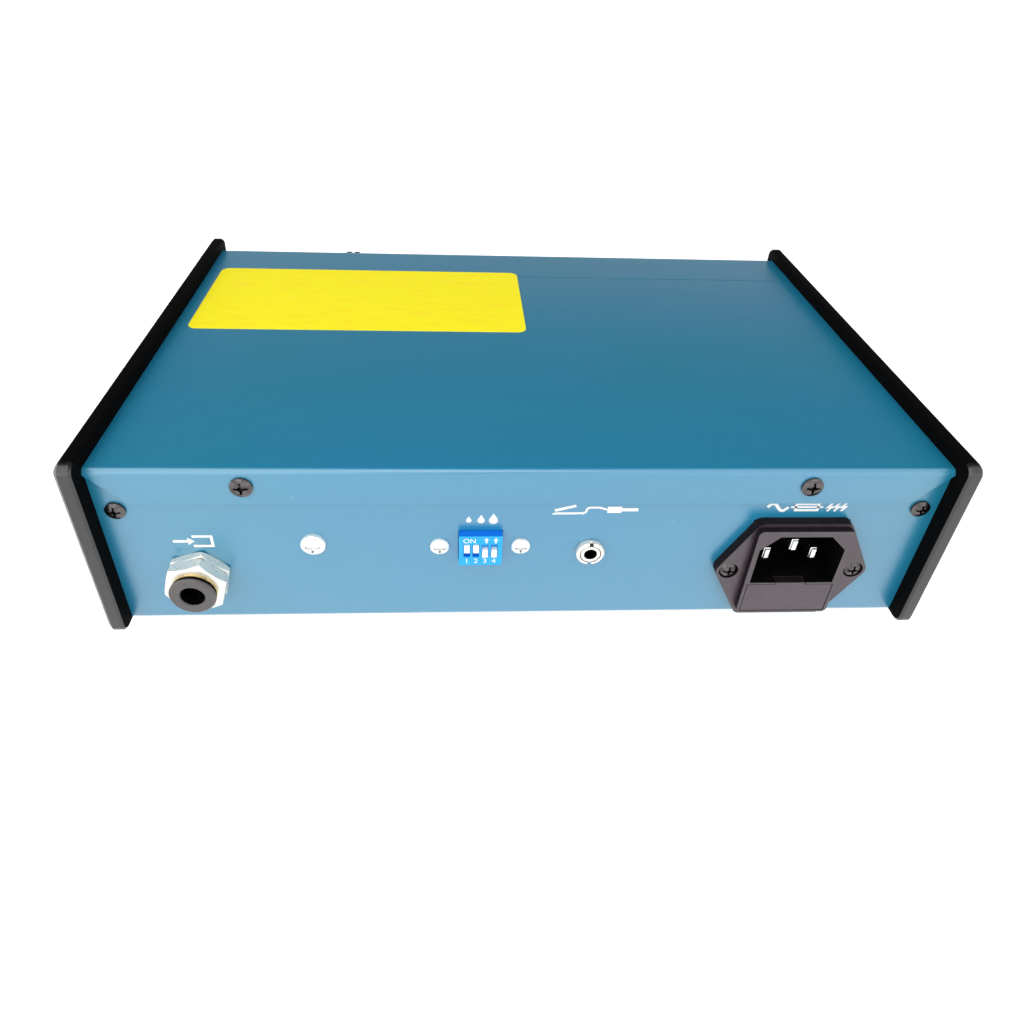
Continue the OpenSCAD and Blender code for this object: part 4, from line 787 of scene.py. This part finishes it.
def key_marks():
    """A plus, a minus, a run triangle and a cycle arrow, one on each key's cap."""
    for i in range(1, 5):
        node = f"key_{i}"
        cap = on_front_of(node)
        if i == 1:
            cap.line([(-2, 0), (2, 0)], 0.8)
            cap.line([(0, -2), (0, -0.4)], 0.8)
            cap.line([(0, 0.4), (0, 2)], 0.8)
        elif i == 2:
            cap.line([(-2, 0), (2, 0)], 0.8)
        elif i == 3:
            cap.shape([(-1.4, -2), (2.1, 0), (-1.4, 2)])
        else:
            cap.line(arc(0, 0, 1.7, 60, 340), 0.7)
            cap.shape([(0.9, -0.4), (2.6, -0.2), (1.5, -1.9)])
        cap.finish(f"mark_key_{i}", "grey", body=BODY_OF[node], onto=node)


def dial_marks():
    """The dial's scale, with its numbers inside it."""
    low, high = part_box("gauge_dial")
    dial = on_front_of("gauge_dial")
    outer = (high.x - low.x) / 2 / MM - 2.0
    count = DIAL_STEPS * DIAL_FINE
    for i in range(count + 1):
        turn = DIAL_START - DIAL_SWEEP * i / count
        if i % DIAL_FINE:
            dial.tick(turn, outer - 1.3, outer, 0.2)
        else:
            dial.tick(turn, outer - 2.4, outer, 0.45)
            place = (outer - 4.4) * direction(turn)
            dial.words(str(i // DIAL_FINE), place.x, place.y, 2.9)
    dial.line(arc(0, 0, outer, DIAL_START, DIAL_START - DIAL_SWEEP, 60), 0.25)
    dial.finish("mark_dial", "black", slot="dial_white")


def knob_marks():
    """An arrow from minus to plus on the regulator's knob, and an index on the vacuum knob."""
    knob = on_front_of("regulator_knob")
    knob.line(arc(0, 0, 7, 160, 30), 0.7)
    knob.shape([(7.6, 4.2), (4.7, 3.5), (6.9, 1.4)])
    for x in (-7, 7):
        knob.line(straight((x - 1.4, -1), (x + 1.4, -1)), 0.7)
    for y in (-2.4, -0.6):
        knob.line([(7, y), (7, y + 1)], 0.7)
    knob.finish("mark_regulator", "white", body=BODY_OF["regulator_knob"], onto="regulator_knob")
    knob = on_front_of("vacuum_knob")
    knob.line(straight((0, 2.4), (0, 6.4), 16), 0.9)
    knob.finish("mark_vacuum_index", "white", body=BODY_OF["vacuum_knob"], onto="vacuum_knob")


def panel_marks():
    """A scale round the vacuum knob, ON and OFF by the mains switch, and I and O on its rocker."""
    middle = middle_of("vacuum_knob")
    scale = on_face(middle.x, FRONT_Y, middle.z, FRONT)
    for i in range(VACUUM_TICKS):
        scale.tick(VACUUM_START - VACUUM_STEP * i, *VACUUM_RADII, 0.5)
    scale.finish("mark_vacuum_scale", "white")
    low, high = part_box("rocker_frame")
    power = on_face(middle_of("rocker_frame").x, FRONT_Y, 0, FRONT)
    power.words("ON", 0, high.z / MM + 3, 3.4)
    power.words("OFF", 0, low.z / MM - 3.2, 3.4)
    power.finish("mark_power", "white")
    rocker = on_front_of("power_rocker")
    rocker.line(straight((0, 2), (0, 4.8)), 0.8)
    rocker.ring(0, -4.6, 1.3, 0.7)
    rocker.finish("mark_rocker", "white", body=BODY_OF["power_rocker"], onto="power_rocker")


# Stage, light and camera
def combined(tree, operation, first, second):
    """Two values taken together by a maths operation."""
    node = tree.nodes.new("ShaderNodeMath")
    node.operation = operation
    tree.links.new(first, node.inputs[0])
    tree.links.new(second, node.inputs[1])
    return node.outputs[0]


def path_rays(tree):
    """1 for rays from the camera, off gloss and through glass, and 0 for the rest."""
    rays = tree.nodes.new("ShaderNodeLightPath")
    value = rays.outputs["Is Camera Ray"]
    for other in ("Is Glossy Ray", "Is Transmission Ray"):
        value = combined(tree, "MAXIMUM", value, rays.outputs[other])
    return value


def map_range(tree, value, start, end, low, high):
    """value taken from start..end to low..high."""
    node = tree.nodes.new("ShaderNodeMapRange")
    tree.links.new(value, node.inputs["Value"])
    for socket, number in (("From Min", start), ("From Max", end), ("To Min", low), ("To Max", high)):
        node.inputs[socket].default_value = number
    return node.outputs["Result"]


def floor_glow(tree):
    """The floor's own white for the camera and reflections, weaker near the object."""
    place = tree.nodes.new("ShaderNodeTexCoord")
    length = tree.nodes.new("ShaderNodeVectorMath")
    length.operation = "LENGTH"
    tree.links.new(place.outputs["Object"], length.inputs[0])
    near_far = map_range(tree, length.outputs["Value"], *FLOOR_FADE, *FLOOR_GLOW)
    glow = tree.nodes.new("ShaderNodeEmission")
    tree.links.new(combined(tree, "MULTIPLY", path_rays(tree), near_far), glow.inputs["Strength"])
    return glow.outputs[0]


def floor_material():
    """Matt white that keeps the object's shadow, with its glow, and clear from below."""
    material = bpy.data.materials.new("floor_white")
    material.use_nodes = True
    tree = material.node_tree
    tree.nodes.clear()
    diffuse = tree.nodes.new("ShaderNodeBsdfDiffuse")
    diffuse.inputs["Color"].default_value = (FLOOR_WHITE, FLOOR_WHITE, FLOOR_WHITE, 1)
    lit = tree.nodes.new("ShaderNodeAddShader")
    tree.links.new(diffuse.outputs[0], lit.inputs[0])
    tree.links.new(floor_glow(tree), lit.inputs[1])
    side = tree.nodes.new("ShaderNodeNewGeometry")
    clear = tree.nodes.new("ShaderNodeBsdfTransparent")
    one_sided = tree.nodes.new("ShaderNodeMixShader")
    tree.links.new(side.outputs["Backfacing"], one_sided.inputs["Fac"])
    tree.links.new(lit.outputs[0], one_sided.inputs[1])
    tree.links.new(clear.outputs[0], one_sided.inputs[2])
    out = tree.nodes.new("ShaderNodeOutputMaterial")
    tree.links.new(one_sided.outputs[0], out.inputs["Surface"])
    return material


def white_floor():
    """A plain pale floor under the feet."""
    mesh = bpy.data.meshes.new("floor")
    turns = ((-1, -1), (1, -1), (1, 1), (-1, 1))
    corners = [(x * FLOOR_HALF, y * FLOOR_HALF, FLOOR_Z) for x, y in turns]
    mesh.from_pydata(corners, [], [(0, 1, 2, 3)])
    mesh.materials.append(floor_material())
    floor = bpy.data.objects.new("floor", mesh)
    bpy.context.scene.collection.objects.link(floor)


def sky():
    """World: white all round the horizon and a dark ceiling, but plain white to the camera."""
    world = bpy.data.worlds.new("studio")
    bpy.context.scene.world = world
    world.use_nodes = True
    tree = world.node_tree
    direction = tree.nodes.new("ShaderNodeTexCoord")
    split = tree.nodes.new("ShaderNodeSeparateXYZ")
    tree.links.new(direction.outputs["Generated"], split.inputs[0])
    ceiling = map_range(tree, split.outputs["Z"], *SKY_FADE, *SKY_LEVEL)
    rays = tree.nodes.new("ShaderNodeLightPath")
    level = combined(tree, "MAXIMUM", ceiling, rays.outputs["Is Camera Ray"])
    background = tree.nodes["Background"]
    tree.links.new(level, background.inputs["Strength"])
    background.inputs["Color"].default_value = (1, 1, 1, 1)


def area_lamp(name, place, target, size, power, shiny):
    """A rectangular lamp that the camera doesn't see, and gloss only where it is shiny."""
    lamp = bpy.data.lights.new(name, "AREA")
    lamp.shape = "RECTANGLE"
    lamp.size, lamp.size_y = size
    lamp.energy = power
    holder = bpy.data.objects.new(name, lamp)
    bpy.context.scene.collection.objects.link(holder)
    holder.location = place
    holder.rotation_euler = (Vector(target) - Vector(place)).to_track_quat("-Z", "Y").to_euler()
    holder.visible_camera = False
    holder.visible_glossy = shiny


def camera():
    """The photograph's camera."""
    forward = Vector((math.sin(CAMERA_YAW) * math.cos(CAMERA_PITCH),
                      -math.cos(CAMERA_YAW) * math.cos(CAMERA_PITCH), -math.sin(CAMERA_PITCH)))
    level = Vector((-math.cos(CAMERA_YAW), -math.sin(CAMERA_YAW), 0))
    down = forward.cross(level)
    across = math.cos(CAMERA_ROLL) * level + math.sin(CAMERA_ROLL) * down
    below = math.cos(CAMERA_ROLL) * down - math.sin(CAMERA_ROLL) * level
    data = bpy.data.cameras.new("photo_camera")
    data.lens = CAMERA_LENS
    data.sensor_width = CAMERA_SENSOR
    data.shift_x, data.shift_y = CAMERA_SHIFT
    data.clip_start = CAMERA_NEAR
    holder = bpy.data.objects.new("photo_camera", data)
    bpy.context.scene.collection.objects.link(holder)
    turn = Matrix((across, -below, -forward)).transposed().to_4x4()
    holder.matrix_world = Matrix.Translation(CAMERA_PLACE) @ turn
    bpy.context.scene.camera = holder


camera()
sky()
white_floor()
for lamp_name, lamp_facts in LAMPS.items():
    area_lamp(lamp_name, *lamp_facts)
bpy.context.scene.view_settings.view_transform = "Standard"

dress_nodes()
soften_nodes()
plate_faces()
matt_sides()
plug_cavity()
bores()
jack_bushing()
rear_marks()
switch_marks()
display_digits()
key_marks()
dial_marks()
knob_marks()
panel_marks()
